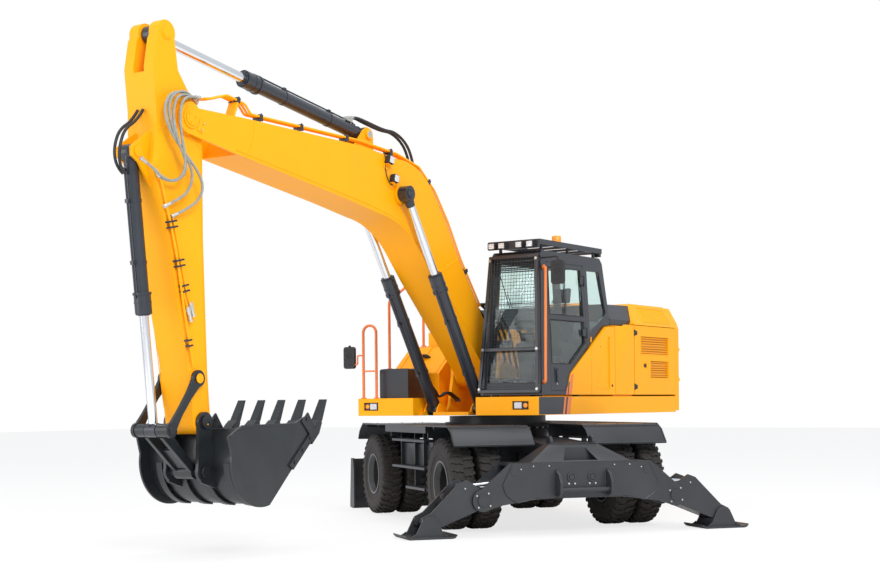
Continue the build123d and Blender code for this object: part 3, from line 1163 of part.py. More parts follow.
BOOM_ROD_AT = placed(BOOM, BOOM_ROD_PIN)
BOOM_CYLINDER = aimed(BOOM_CYLINDER_PIN, BOOM_ROD_AT)
BOOM_SPAN = math.dist(BOOM_CYLINDER_PIN, BOOM_ROD_AT)
BOOM_BARREL = 1790.0
BOOM_ROD = 46.0
BOTH_SIDES = (BOOM_CYLINDER_Y, -BOOM_CYLINDER_Y)
keep(make_barrel(72, BOOM_ROD, 82, 190, BOOM_BARREL, CYLINDER_EYE_RADIUS, CYLINDER_EYE, BOTH_SIDES),
     "boom_barrels", BOOM_CYLINDER)
keep(make_rod(BOOM_ROD, 700, BOOM_SPAN, ROD_EYE_RADIUS, ROD_EYE, BOTH_SIDES), "boom_rods",
     BOOM_CYLINDER)

# ---- arm: box with the arm cylinder's ears at its top and the bucket cylinder's lugs in front
EAR_GAP = 66.0
with BuildPart() as arm:
    with BuildSketch(side_plane(ARM_HALF)):
        with BuildLine():
            Polyline((-860, 240), (-700, 335), (-440, 400), (-60, 385), (160, 400), (450, 470), (1130, 300),
                     (ARM_LENGTH - 950, 215), (ARM_LENGTH - 600, 155), (ARM_LENGTH, 112), (ARM_LENGTH, -112),
                     (ARM_LENGTH - 450, -104), (1120, -140),
                     (300, -190), (0, -190), (-180, -90), (-430, 75), (-650, 95), (-800, 105), close=True)
        make_face()
        with Locations((0, 0)):
            Circle(195)
        with Locations((ARM_LENGTH, 0)):
            Circle(112)
        with Locations(ARM_ROD_PIN):
            Circle(112)
    extrude(amount=ARM_WIDTH)
    # slot between the ears, rounded at its root
    box_between((-1000, -400), (-EAR_GAP, EAR_GAP), (-200, 600), Mode.SUBTRACT)
    bar_along_y(0, 0, 150, -fork + SIDE_CLEARANCE, fork - SIDE_CLEARANCE)
    bar_along_y(0, 0, PIN_RADIUS + 6 + PIN_CLEARANCE, -fork, fork, Mode.SUBTRACT)
    cyl_x, cyl_z = BUCKET_CYLINDER_PIN
    for low, high in mirrored_y(72, 100):
        slab(((cyl_x - 200, 395), (cyl_x - 90, cyl_z + 10), (cyl_x - 40, cyl_z + 80), (cyl_x + 40, cyl_z + 80),
              (cyl_x + 95, cyl_z), (cyl_x + 320, 420)), low, high)
    bar_along_y(cyl_x, cyl_z, PIN_RADIUS, -110, 110)
    for low, high in mirrored_y(ARM_HALF, ARM_HALF + 8):
        bar_along_y(ROCKER_PIN[0], ROCKER_PIN[1], 74, low, high)
        bar_along_y(ARM_ROD_PIN[0], ARM_ROD_PIN[1], 70, low, high)
    bar_along_y(ROCKER_PIN[0], ROCKER_PIN[1], PIN_RADIUS - 4, -ARM_HALF - 54, ARM_HALF + 54)
    bar_along_y(ARM_LENGTH, 0, PIN_RADIUS, -ARM_HALF - 58, ARM_HALF + 58)
keep(arm, "arm", ARM)

ARM_BASE_AT = placed(BOOM, ARM_CYLINDER_PIN)
ARM_ROD_AT = placed(ARM, ARM_ROD_PIN)
ARM_CYLINDER = aimed(ARM_BASE_AT, ARM_ROD_AT)
ARM_SPAN = math.dist(ARM_BASE_AT, ARM_ROD_AT)
ARM_BARREL = 1930.0
keep(make_barrel(72, 48, 88, 190, ARM_BARREL, 80, 148, (0,)), "arm_barrel", ARM_CYLINDER)
keep(make_rod(48, 1045, ARM_SPAN, 80, 2 * EAR_GAP - 20, (0,)), "arm_rod", ARM_CYLINDER)

# ---- bucket linkage: rockers on the arm, crosshead, link to the bucket, and the cylinder
ROCKER = aimed(ROCKER_AT, CROSSHEAD)
LINK = aimed(CROSSHEAD, LINK_AT)
ROCKER_PLATE = 34.0
ROCKER_INNER = ARM_HALF + 8 + SIDE_CLEARANCE
CROSSHEAD_RADIUS = 62.0
LINK_EAR = 40.0
LINK_OUTER = ROCKER_INNER - 4
LINK_INNER = 74.0
with BuildPart() as rocker:
    for low, high in mirrored_y(ROCKER_INNER, ROCKER_INNER + ROCKER_PLATE):
        slab(((0, 62), (200, 40), (ROCKER_LENGTH - 180, 38), (ROCKER_LENGTH, 52), (ROCKER_LENGTH, -52),
              (ROCKER_LENGTH - 180, -30), (200, -34), (0, -62)), low, high)
        bar_along_y(0, 0, 78, low, high)
        bar_along_y(ROCKER_LENGTH, 0, 70, low, high)
        bar_along_y(0, 0, PIN_RADIUS - 4 + PIN_CLEARANCE, low - 1, high + 1, Mode.SUBTRACT)
    for low, high in mirrored_y(LINK_INNER + 4, ROCKER_INNER + ROCKER_PLATE + 12):
        bar_along_y(ROCKER_LENGTH, 0, PIN_RADIUS - 4, low, high)
keep(rocker, "rocker", ROCKER)
with BuildPart() as link:
    for low, high in mirrored_y(LINK_INNER, LINK_OUTER):
        bar_along_y(0, 0, CROSSHEAD_RADIUS, low, high)
        bar_along_y(0, 0, PIN_RADIUS - 4 + PIN_CLEARANCE, low - 1, high + 1, Mode.SUBTRACT)
    for low, high in mirrored_y(LINK_INNER, LINK_INNER + LINK_EAR):
        slab(((46, 52), (LINK_LENGTH - 40, 40), (LINK_LENGTH - 40, -40), (46, -52)), low, high)
    box_between((260, LINK_LENGTH - 70), (-LINK_INNER, LINK_INNER), (-18, 18))
    bar_along_y(LINK_LENGTH, 0, 66, -LINK_INNER - LINK_EAR, LINK_INNER + LINK_EAR)
keep(link, "link", LINK)

BUCKET_BASE_AT = placed(ARM, BUCKET_CYLINDER_PIN)
BUCKET_CYLINDER = aimed(BUCKET_BASE_AT, CROSSHEAD)
BUCKET_SPAN = math.dist(BUCKET_BASE_AT, CROSSHEAD)
BUCKET_BARREL = 1450.0
keep(make_barrel(64, 42, 78, 170, BUCKET_BARREL, 72, 130, (0,)), "bucket_barrel", BUCKET_CYLINDER)
keep(make_rod(42, 1100, BUCKET_SPAN, 64, 2 * LINK_INNER - 16, (0,)), "bucket_rod",
     BUCKET_CYLINDER)

# ---- bucket: side plates, rolled shell, hinge lugs, lip, teeth and side cutters
BUCKET_SIDE = (  # x, z of the side plate, from the hinge over the mouth and round the shell
    (-95, 130), (100, 30), (860, 20), (1010, -40), (1130, 140), (470, 785))
SIDE_ARC = ((470, 785), (90, 700), (-50, 300))
SHELL_ARC = ((470, 785), (200, 660), (80, 330))
SHELL_BACK = (95, 160)
SHELL_HEM = (130, 60)
BUCKET_HALF = BUCKET_WIDTH / 2
HINGE_LUG = 36.0
ARM_LUG_INNER = ARM_HALF + SIDE_CLEARANCE
TEETH = 5
TOOTH_WIDTH = 84.0
ADAPTER_WIDTH = 116.0
SIDE_CUTTER = ((935, 12), (1032, -78), (1168, 118), (800, 468), (742, 425), (1052, 132))
CUTTER_SHEET = 20.0


def bucket_section(y_high, inset):
    """Side view of the shell filled in, less a wall, and past its mouth, which stays open."""
    with BuildSketch(side_plane(y_high)) as section:
        with BuildLine():
            Polyline((SHELL_ARC[2][0] + inset, SHELL_ARC[2][1]), (SHELL_BACK[0] + inset, SHELL_BACK[1]),
                     (SHELL_HEM[0] + inset, SHELL_HEM[1] - 60), (860, -40), (1130 + inset, -40),
                     (1130 - inset * 0.7, 140 - inset * 0.7), (470 - inset * 0.3, 785 - inset * 1.2))
            ThreePointArc((470 - inset * 0.3, 785 - inset * 1.2), (200 + inset * 0.7, 660 - inset * 0.7),
                          (SHELL_ARC[2][0] + inset, SHELL_ARC[2][1]))
        make_face()
    return section.sketch


with BuildPart() as bucket:
    with BuildSketch(side_plane(BUCKET_HALF)) as shell_face:
        with BuildLine():
            Polyline(SHELL_ARC[2], SHELL_BACK, SHELL_HEM, *BUCKET_SIDE[2:])
            ThreePointArc(*SHELL_ARC)
        make_face()
    extrude(shell_face.sketch, amount=BUCKET_WIDTH)
    extrude(bucket_section(BUCKET_HALF - BUCKET_SHEET, BUCKET_SHEET), amount=BUCKET_WIDTH - 2 * BUCKET_SHEET,
            mode=Mode.SUBTRACT)
    for low, high in mirrored_y(BUCKET_HALF - BUCKET_SHEET, BUCKET_HALF):
        with BuildSketch(side_plane(high)) as cheek:
            with BuildLine():
                Polyline(SIDE_ARC[2], *BUCKET_SIDE)
                ThreePointArc(*SIDE_ARC)
            make_face()
        extrude(cheek.sketch, amount=BUCKET_SHEET)
    # lip plate
    slab(((1010, 215), (1040, 245), (1205, 80), (1165, 62)), -BUCKET_HALF, BUCKET_HALF)
    # hinge lugs outside the arm, carried on the back of the shell
    for low, high in mirrored_y(ARM_LUG_INNER, ARM_LUG_INNER + HINGE_LUG):
        slab(((-85, 0), (-95, 200), (-105, 470), (-60, 560), (140, 620), (90, 330), (90, 40)), low, high)
        bar_along_y(0, 0, 96, low, high)
        bar_along_y(BUCKET_LINK_PIN[0], BUCKET_LINK_PIN[1], 88, low, high)
        bar_along_y(0, 0, PIN_RADIUS + PIN_CLEARANCE, low - 1, high + 1, Mode.SUBTRACT)
    for low, high in mirrored_y(LINK_INNER + LINK_EAR + SIDE_CLEARANCE, ARM_LUG_INNER + HINGE_LUG + 14):
        bar_along_y(BUCKET_LINK_PIN[0], BUCKET_LINK_PIN[1], PIN_RADIUS - 4, low, high)
    for low, high in mirrored_y(BUCKET_HALF, BUCKET_HALF + CUTTER_SHEET):
        slab(SIDE_CUTTER, low, high)
    # each tooth sits on the nose of an adapter that is welded round the lip
    pitch = (BUCKET_WIDTH - ADAPTER_WIDTH) / (TEETH - 1)
    for index in range(TEETH):
        y = -BUCKET_HALF + ADAPTER_WIDTH / 2 + index * pitch
        slab(((1096, 112), (1112, 232), (1222, 128), (1268, 22), (1216, -2), (1165, 38)),
             y - ADAPTER_WIDTH / 2, y + ADAPTER_WIDTH / 2)
        slab(((1200, 60), (1236, 74), (1292, 0), (1370, -205), (1345, -205), (1212, 12)),
             y - TOOTH_WIDTH / 2, y + TOOTH_WIDTH / 2)
keep(bucket, "bucket", BUCKET)


# ================================================================ assembly and export
boxes = [part.bounding_box() for parts in PIECES.values() for part in parts]
low = [min(getattr(box.min, axis) for box in boxes) for axis in "XYZ"]
high = [max(getattr(box.max, axis) for box in boxes) for axis in "XYZ"]
ORIGIN = Location((-(low[0] + high[0]) / 2, -(low[1] + high[1]) / 2, -low[2]))
for node, parts in PIECES.items():
    whole = Compound([solid.moved(ORIGIN) for part in parts for solid in part.solids()])
    whole.label = node
    export_step(whole, f"parts/{node}.step")
print("size", [round(high[i] - low[i]) for i in range(3)], "nodes", len(PIECES), "origin", ORIGIN.position)
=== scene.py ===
# %% [markdown]
# # A wheeled excavator
# The machine stands on two outrigger legs, with its upper structure turned to the side and its boom, arm and
# bucket stretched out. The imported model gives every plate, pin and wheel its exact place. This file gives
# each of them its finish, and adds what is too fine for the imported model: treads, pipes, hoses, bolts, mesh.

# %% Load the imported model
import json
import math

import bmesh
import bpy
from mathutils import Matrix, Vector

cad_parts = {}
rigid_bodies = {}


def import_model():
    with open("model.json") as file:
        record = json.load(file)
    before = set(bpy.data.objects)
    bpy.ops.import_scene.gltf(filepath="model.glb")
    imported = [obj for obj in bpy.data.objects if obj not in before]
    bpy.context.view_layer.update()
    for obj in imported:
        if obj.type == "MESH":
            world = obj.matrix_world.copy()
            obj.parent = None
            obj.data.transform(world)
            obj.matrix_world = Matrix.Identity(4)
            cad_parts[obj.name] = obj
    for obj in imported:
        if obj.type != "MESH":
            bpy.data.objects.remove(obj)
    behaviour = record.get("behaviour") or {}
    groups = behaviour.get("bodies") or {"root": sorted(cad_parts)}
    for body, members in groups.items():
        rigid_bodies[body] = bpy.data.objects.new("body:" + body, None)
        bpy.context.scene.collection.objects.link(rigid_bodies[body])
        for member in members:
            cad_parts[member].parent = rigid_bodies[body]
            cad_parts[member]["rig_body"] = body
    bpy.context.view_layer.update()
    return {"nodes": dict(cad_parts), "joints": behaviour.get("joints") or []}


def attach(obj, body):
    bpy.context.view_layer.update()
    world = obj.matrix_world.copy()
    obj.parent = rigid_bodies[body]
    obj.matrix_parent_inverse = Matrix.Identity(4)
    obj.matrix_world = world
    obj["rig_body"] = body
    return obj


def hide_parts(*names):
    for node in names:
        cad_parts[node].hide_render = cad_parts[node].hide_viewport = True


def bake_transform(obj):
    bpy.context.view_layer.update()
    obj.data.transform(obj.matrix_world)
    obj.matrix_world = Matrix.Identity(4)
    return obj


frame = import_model()
pins = {joint["name"]: Vector(joint["pos_m"]) for joint in frame["joints"] if "pos_m" in joint}

# %% [markdown]
# Each link of a digger is easiest to dress in its own drawing: X runs along the boom from its foot pin to its
# tip pin, and so on. A 4 by 4 matrix takes a point of such a drawing, in millimetres, to the scene, in
# metres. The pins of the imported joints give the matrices, so a link that moves takes its details with it.

# %% Frames of the links
TO_METRES = Matrix.Scale(0.001, 4)
SLEW_ANGLE = 128.0


def link_frame(origin, target):
    """The drawing frame of a link, from its pin to its far pin."""
    run = target - origin
    angle = math.atan2(run.z, run.x)
    return Matrix.Translation(origin) @ Matrix.Rotation(-angle, 4, "Y") @ TO_METRES


ring = Vector((pins["slew"].x, pins["slew"].y, 0))
UPPER = Matrix.Translation(ring) @ TO_METRES
CHASSIS = Matrix.Translation(ring) @ Matrix.Rotation(math.radians(-SLEW_ANGLE), 4, "Z") @ TO_METRES
BOOM = link_frame(pins["boom_lift"], pins["arm_swing"])
ARM = link_frame(pins["arm_swing"], pins["bucket_curl"])
BUCKET = link_frame(pins["bucket_curl"], pins["bucket_curl"] - Vector((1, 0, 0)))
print("boom", round(1000 * (pins["arm_swing"] - pins["boom_lift"]).length), "mm, arm",
      round(1000 * (pins["bucket_curl"] - pins["arm_swing"]).length), "mm")

# %% [markdown]
# ## Finishes
# A finish is a tree of shader nodes. Noise at two scales keeps a large painted panel from looking like
# plastic: a broad one shifts the colour a little, and a fine one roughens the gloss and lifts the surface by
# a hair, which is the orange peel of sprayed paint. Dust settles low on the machine, so a third mask grows
# towards the ground. All of it reads Object coordinates, which are metres here.


# %% A helper for painted and bare surfaces
DUST = (0.19, 0.165, 0.13, 1)


def new_finish(name):
    """A new material, its nodes, its links and its shader."""
    material = bpy.data.materials.new(name)
    material.use_nodes = True
    nodes = material.node_tree.nodes
    return material, nodes, material.node_tree.links, nodes["Principled BSDF"]


def add_node(nodes, kind, **values):
    """A new shader node with these values, in whose labels _ stands for a space."""
    fresh = nodes.new("ShaderNode" + kind)
    for label, value in values.items():
        fresh.inputs[label.replace("_", " ")].default_value = value
    return fresh


def coat(name, colour, roughness, metallic=0.0, shift=0.12, broad=2.5, fine=180.0, lift=0.08, dust=0.0,
         dust_top=1.4, gloss=0.0, shine=0.5):
    """A finish with broad colour drift, fine bump and dust that grows towards the ground."""
    material, nodes, links, shader = new_finish(name)
    where = add_node(nodes, "TexCoord")
    drift = add_node(nodes, "TexNoise", Scale=broad, Detail=4)
    grain = add_node(nodes, "TexNoise", Scale=fine)
    for noise in (drift, grain):
        links.new(where.outputs["Object"], noise.inputs["Vector"])
    tone = add_node(nodes, "ValToRGB")
    for stop, position, change in zip(tone.color_ramp.elements, (0.3, 0.7), (1 - shift, 1 + shift * 0.6)):
        stop.position = position
        stop.color = [*(min(1, c * change) for c in colour), 1]
    links.new(drift.outputs["Fac"], tone.inputs["Fac"])
    colour_out = tone.outputs["Color"]
    if dust:
        height = add_node(nodes, "SeparateXYZ")
        links.new(where.outputs["Object"], height.inputs[0])
        low = add_node(nodes, "MapRange", From_Min=dust_top, From_Max=0.0, To_Max=dust)
        links.new(height.outputs["Z"], low.inputs["Value"])
        patches = add_node(nodes, "Math")
        patches.operation = "MULTIPLY"
        links.new(low.outputs["Result"], patches.inputs[0])
        links.new(drift.outputs["Fac"], patches.inputs[1])
        dusty = add_node(nodes, "Mix")
        dusty.data_type = "RGBA"
        dusty.inputs["B"].default_value = DUST
        links.new(patches.outputs[0], dusty.inputs["Factor"])
        links.new(colour_out, dusty.inputs["A"])
        colour_out = dusty.outputs["Result"]
    links.new(colour_out, shader.inputs["Base Color"])
    spread = add_node(nodes, "MapRange", To_Min=roughness * 0.8, To_Max=min(1, roughness * 1.25))
    links.new(drift.outputs["Fac"], spread.inputs["Value"])
    links.new(spread.outputs["Result"], shader.inputs["Roughness"])
    bump = add_node(nodes, "Bump", Strength=lift, Distance=0.002)
    links.new(grain.outputs["Fac"], bump.inputs["Height"])
    links.new(bump.outputs["Normal"], shader.inputs["Normal"])
    for label, value in (("Metallic", metallic), ("Specular IOR Level", shine), ("Coat Weight", gloss),
                         ("Coat Roughness", 0.12)):
        shader.inputs[label].default_value = value
    return material


# %% [markdown]
# The machine wears few colours: a warm yellow on boom, arm and body, a blue-black satin on cab, guard and
# cylinders, the same black with road dust below, and a darker black on the bucket. Chrome stays bare on the
# rods, and the rails for hands and feet are orange so that they are seen.

# %% The finishes
YELLOW = coat("yellow_paint", (1.0, 0.40, 0.0), 0.45, shift=0.03, lift=0.05, dust=0.05, shine=0.25)
CAB_BLACK = coat("cab_black_paint", (0.020, 0.024, 0.031), 0.40, shift=0.15, lift=0.06, gloss=0.2)
CHASSIS_BLACK = coat("chassis_black_paint", (0.018, 0.021, 0.026), 0.42, shift=0.25, lift=0.10, dust=0.10,
                     gloss=0.15)
BUCKET_BLACK = coat("bucket_black_paint", (0.009, 0.013, 0.016), 0.38, shift=0.3, broad=4, lift=0.12,
                    dust=0.10, gloss=0.2)
BARREL_BLACK = coat("cylinder_black_paint", (0.018, 0.023, 0.032), 0.33, shift=0.12, lift=0.04, gloss=0.3)
CHROME = coat("rod_chrome", (0.78, 0.80, 0.82), 0.13, metallic=1.0, shift=0.04, fine=300, lift=0.01)
ZINC = coat("zinc_plate", (0.62, 0.62, 0.58), 0.35, metallic=0.9, shift=0.15, fine=120, lift=0.05)
RUBBER = coat("tyre_rubber", (0.022, 0.020, 0.019), 0.78, shift=0.35, broad=9, fine=260, lift=0.25, dust=0.28,
              dust_top=1.1)
TRIM = coat("moulded_trim", (0.020, 0.021, 0.023), 0.62, shift=0.2, fine=420, lift=0.2)
ORANGE = coat("rail_orange", (0.80, 0.19, 0.03), 0.38, shift=0.06, lift=0.05, gloss=0.25)
HOSE_GREY = coat("hose_sleeve", (0.30, 0.31, 0.27), 0.66, shift=0.18, broad=30, fine=700, lift=0.35)
HOSE_BLACK = coat("hose_rubber", (0.014, 0.014, 0.015), 0.5, shift=0.2, broad=20, fine=500, lift=0.15)
ENGINE_GREY = coat("engine_grey", (0.10, 0.10, 0.11), 0.6, shift=0.2, lift=0.2)
RIM_BLACK = coat("rim_paint", (0.020, 0.023, 0.027), 0.38, shift=0.2, lift=0.06, dust=0.25, gloss=0.25)
SEAT_CLOTH = coat("seat_cloth", (0.028, 0.030, 0.034), 0.85, shift=0.2, broad=14, fine=900, lift=0.5)
print(len(bpy.data.materials), "finishes so far")

# %% [markdown]
# Glass is tinted a little green, as safety glass is, and lets the far side of the cab show. Lamp lenses are
# clear, amber or red plastic, the clear ones over bright reflectors.


# %% Glass and lenses
def clear(name, colour, roughness, through):
    """A see-through finish with faint smears in its gloss."""
    material, nodes, links, shader = new_finish(name)
    where = add_node(nodes, "TexCoord")
    smear = add_node(nodes, "TexNoise", Scale=6)
    links.new(where.outputs["Object"], smear.inputs["Vector"])
    spread = add_node(nodes, "MapRange", To_Min=roughness, To_Max=roughness * 2)
    links.new(smear.outputs["Fac"], spread.inputs["Value"])
    links.new(spread.outputs["Result"], shader.inputs["Roughness"])
    for label, value in (("Base Color", [*colour, 1]), ("Transmission Weight", through), ("IOR", 1.45)):
        shader.inputs[label].default_value = value
    return material


GLASS = clear("cab_glass", (0.80, 0.92, 0.90), 0.01, 1.0)
LENS = clear("lamp_lens", (0.92, 0.93, 0.95), 0.08, 0.35)
AMBER = clear("beacon_cap", (1.0, 0.36, 0.03), 0.16, 0.0)
RED = clear("red_lens", (0.80, 0.03, 0.02), 0.12, 0.1)
print("see-through:", GLASS.name, LENS.name, AMBER.name, RED.name)

# %% [markdown]
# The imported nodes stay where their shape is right, and each is given its finish here. The table names the
# finish by the way a node's name starts, and the last line is for what is left.

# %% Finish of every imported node
FINISH_BY_NAME = (
    ("tyres", RUBBER), ("rim", RIM_BLACK), ("boom_rods", CHROME), ("arm_rod", CHROME), ("bucket_rod", CHROME),
    ("leg_rod", CHROME), ("blade_rods", CHROME), ("boom_barrels", BARREL_BLACK), ("arm_barrel", BARREL_BLACK),
    ("bucket_barrel", BARREL_BLACK), ("leg_barrel", CHASSIS_BLACK), ("blade_barrels", CHASSIS_BLACK),
    ("boom", YELLOW), ("arm", YELLOW), ("engine_block", ENGINE_GREY), ("engine", YELLOW), ("battery", YELLOW),
    ("upper_frame", YELLOW), ("counterweight", YELLOW), ("tanks", YELLOW), ("bucket", BUCKET_BLACK),
    ("rocker", BUCKET_BLACK), ("link", BUCKET_BLACK), ("cab_glass", GLASS), ("door_glass", GLASS),
    ("cab_interior", TRIM), ("handrails", ORANGE), ("mirrors", TRIM), ("lamps", TRIM), ("cab", CAB_BLACK),
    ("front_guard", CAB_BLACK), ("roof_rack", CAB_BLACK), ("rear_cowl", CAB_BLACK), ("tool_box", CAB_BLACK),
    ("", CHASSIS_BLACK))


def finish_of(node):
    """The finish in the table for this node's name."""
    return next(finish for start, finish in FINISH_BY_NAME if node.startswith(start))


for name, node in frame["nodes"].items():
    node.data.materials.clear()
    node.data.materials.append(finish_of(name))
print("finished", len(frame["nodes"]), "nodes")

# %% [markdown]
# ## Tools for making pieces
# Most details are plates, bars and round parts. They are collected in a bmesh, which is a mesh that is still
# open for editing, and then turned into one object for each body. Points are given in a link's drawing.

# %% Plates, boxes and round bars
TURN = {"X": lambda a, b, c: (c, a, b), "Y": lambda a, b, c: (a, c, b), "Z": lambda a, b, c: (a, b, c)}


def circle_of(count, radius):
    """The points of a circle about the origin, as pairs."""
    turns = [2 * math.pi * i / count for i in range(count)]
    return [(radius * math.cos(turn), radius * math.sin(turn)) for turn in turns]


def add_band(bm, near, far):
    """Faces between two closed loops with as many points."""
    for i in range(len(near)):
        j = (i + 1) % len(near)
        bm.faces.new((near[i], near[j], far[j], far[i]))


def add_plate(bm, place, outline, low, high, axis="Y"):
    """A plate of this outline between two values along the axis."""
    near, far = [[bm.verts.new(place @ Vector(TURN[axis](a, b, c))) for a, b in outline] for c in (low, high)]
    bm.faces.new(near)
    bm.faces.new(far[::-1])
    add_band(bm, far, near)


def add_box(bm, place, low, high):
    """A box between two corners."""
    outline = ((low[0], low[1]), (high[0], low[1]), (high[0], high[1]), (low[0], high[1]))
    add_plate(bm, place, outline, low[2], high[2], "Z")


def add_bar(bm, place, start, end, radius, sides=16, far_radius=None):
    """A round bar, or a cone where the far radius differs."""
    start, end = Vector(start), Vector(end)
    turn = (end - start).to_track_quat("Z", "Y").to_matrix().to_4x4()
    spot = place @ Matrix.Translation((start + end) / 2) @ turn
    bmesh.ops.create_cone(bm, cap_ends=True, segments=sides, radius1=radius, depth=(end - start).length,
                          radius2=radius if far_radius is None else far_radius, matrix=spot)


def add_pin(bm, place, x, z, start, end, radius, sides=16, far_radius=None):
    """A round bar along Y, from one y to another."""
    add_bar(bm, place, (x, start, z), (x, end, z), radius, sides, far_radius)


def add_ring(bm, place, centre, axis, outer, inner, depth, sides=32):
    """A flat ring, such as a washer or a boss, with its hole."""
    centre, axis = Vector(centre), Vector(axis).normalized()
    spot = place @ Matrix.Translation(centre) @ axis.to_track_quat("Z", "Y").to_matrix().to_4x4()
    loops = [[bm.verts.new(spot @ Vector((a, b, height))) for a, b in circle_of(sides, radius)]
             for radius, height in ((inner, 0), (outer, 0), (outer, depth), (inner, depth))]
    for near, far in zip(loops, loops[1:] + loops[:1]):
        add_band(bm, near, far)


# %% [markdown]
# A finished piece is smooth on its curves and sharp at its corners. A narrow Bevel takes the knife edge off
# every corner, because on steel plate that small radius is what catches the light.

# %% From an open mesh to a finished piece
made = {}
SHARP = math.radians(32)


def closed(bm, name):
    """The mesh that the open one becomes."""
    mesh = bpy.data.meshes.new(name)
    bm.to_mesh(mesh)
    bm.free()
    return mesh


def show(name, data):
    """A new object in the scene."""
    thing = bpy.data.objects.new(name, data)
    bpy.context.scene.collection.objects.link(thing)
    return thing


def finish_piece(bm, name, body, finish, bevel=0.0, replaces=()):
    """Turns the open mesh into a piece that rides on a body."""
    bmesh.ops.recalc_face_normals(bm, faces=bm.faces)
    return finish_mesh(closed(bm, name), name, body, finish, bevel, replaces)


def finish_mesh(mesh, name, body, finish, bevel=0.0, replaces=()):
    """Shades the mesh, gives it its finish and a bevel, and sets it on its body."""
    mesh.shade_smooth()
    mesh.set_sharp_from_angle(angle=SHARP)
    mesh.materials.clear()
    mesh.materials.append(finish)
    piece = show(name, mesh)
    if bevel:
        edge = piece.modifiers.new("edge", "BEVEL")
        edge.width = bevel
        edge.segments = 2
        edge.limit_method = "ANGLE"
        edge.angle_limit = SHARP
        edge.harden_normals = True
    if body:
        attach(piece, body)
    if replaces:
        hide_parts(*replaces)
    made[name] = len(mesh.polygons)
    return piece


print("a corner sharper than", round(math.degrees(SHARP)), "degrees stays an edge")

# %% [markdown]
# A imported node's mesh is loose triangles. Where a panel shows large, a copy of it is welded, its flat faces
# are joined again, and its edges are rounded. The copy then stands for the node, at exactly the same place.

# %% A node with softened edges
def soften(node, width):
    """A copy of the node with a small radius on its edges, which stands for it."""
    source = frame["nodes"][node]
    bm = bmesh.new()
    bm.from_mesh(source.data)
    bmesh.ops.remove_doubles(bm, verts=bm.verts, dist=0.00005)
    bmesh.ops.dissolve_limit(bm, angle_limit=math.radians(0.6), verts=bm.verts, edges=bm.edges)
    finish_mesh(closed(bm, node + "_soft"), node + "_panel", source["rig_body"], finish_of(node), width, (node,))


# %% [markdown]
# ## What repeats
# Tread lugs, bolts and guard wires are all copies of one small shape. Geometry Nodes set them out: one tree
# spaces copies round a ring, another in rows and columns. Each tree has named inputs, ends by making the
# copies real, and gives them their finish, so the result is plain geometry.


# %% Trees that set out copies
def new_tree(name, sockets):
    """An empty tree with these inputs: label, kind and starting value."""
    tree = bpy.data.node_groups.new(name, "GeometryNodeTree")
    for label, kind, value in sockets:
        socket = tree.interface.new_socket(label, in_out="INPUT", socket_type="NodeSocket" + kind)
        if value is not None:
            socket.default_value = value
    tree.interface.new_socket("Geometry", in_out="OUTPUT", socket_type="NodeSocketGeometry")
    return tree, tree.nodes.new("NodeGroupInput"), tree.nodes.new("NodeGroupOutput")


def add_nodes(tree, *kinds):
    """New nodes of these kinds."""
    return [tree.nodes.new(kind) for kind in kinds]


def wire_up(tree, *joins):
    """Links an output of one node to an input of another, for each of the joins."""
    for source, output, target, socket in joins:
        tree.links.new(source.outputs[output], target.inputs[socket])


def place_copies(tree, given, result, points):
    """Puts the given shape on every point, makes the copies real and gives them the given finish."""
    shape, copies, real, finish = add_nodes(
        tree, "GeometryNodeObjectInfo", "GeometryNodeInstanceOnPoints", "GeometryNodeRealizeInstances",
        "GeometryNodeSetMaterial")
    wire_up(tree, (*points, copies, "Points"), (given, "Shape", shape, "Object"),
            (shape, "Geometry", copies, "Instance"), (copies, "Instances", real, "Geometry"),
            (real, "Geometry", finish, "Geometry"), (given, "Finish", finish, "Material"),
            (finish, "Geometry", result, "Geometry"))
    return copies


RING_TREE, given, result = new_tree("copies_round_a_ring", (
    ("Shape", "Object", None), ("Count", "Int", 12), ("Radius", "Float", 0.2), ("Start", "Float", 0.0),
    ("Finish", "Material", None)))
circle, start_turn, turned, spot, outwards = add_nodes(
    RING_TREE, "GeometryNodeMeshCircle", "ShaderNodeCombineXYZ", "GeometryNodeTransform",
    "GeometryNodeInputPosition", "FunctionNodeAlignRotationToVector")
outwards.axis, outwards.pivot_axis = "X", "Z"
copies = place_copies(RING_TREE, given, result, (turned, "Geometry"))
wire_up(RING_TREE, (given, "Count", circle, "Vertices"), (given, "Radius", circle, "Radius"),
        (given, "Start", start_turn, "Z"), (circle, "Mesh", turned, "Geometry"),
        (start_turn, "Vector", turned, "Rotation"), (spot, "Position", outwards, "Vector"),
        (outwards, "Rotation", copies, "Rotation"))

GRID_SIZES = (("Columns", "Vertices X"), ("Rows", "Vertices Y"), ("Width", "Size X"), ("Height", "Size Y"))
GRID_TREE, given, result = new_tree("copies_in_rows", (
    ("Shape", "Object", None), ("Columns", "Int", 4), ("Rows", "Int", 1), ("Width", "Float", 1.0),
    ("Height", "Float", 0.0), ("Finish", "Material", None)))
grid, = add_nodes(GRID_TREE, "GeometryNodeMeshGrid")
wire_up(GRID_TREE, *((given, label, grid, socket) for label, socket in GRID_SIZES))
place_copies(GRID_TREE, given, result, (grid, "Mesh"))
print("trees:", RING_TREE.name, GRID_TREE.name)


# %% Running a tree
def as_made(thing):
    """The plain mesh that an object's curve or modifiers make."""
    return bpy.data.meshes.new_from_object(thing.evaluated_get(bpy.context.evaluated_depsgraph_get()))


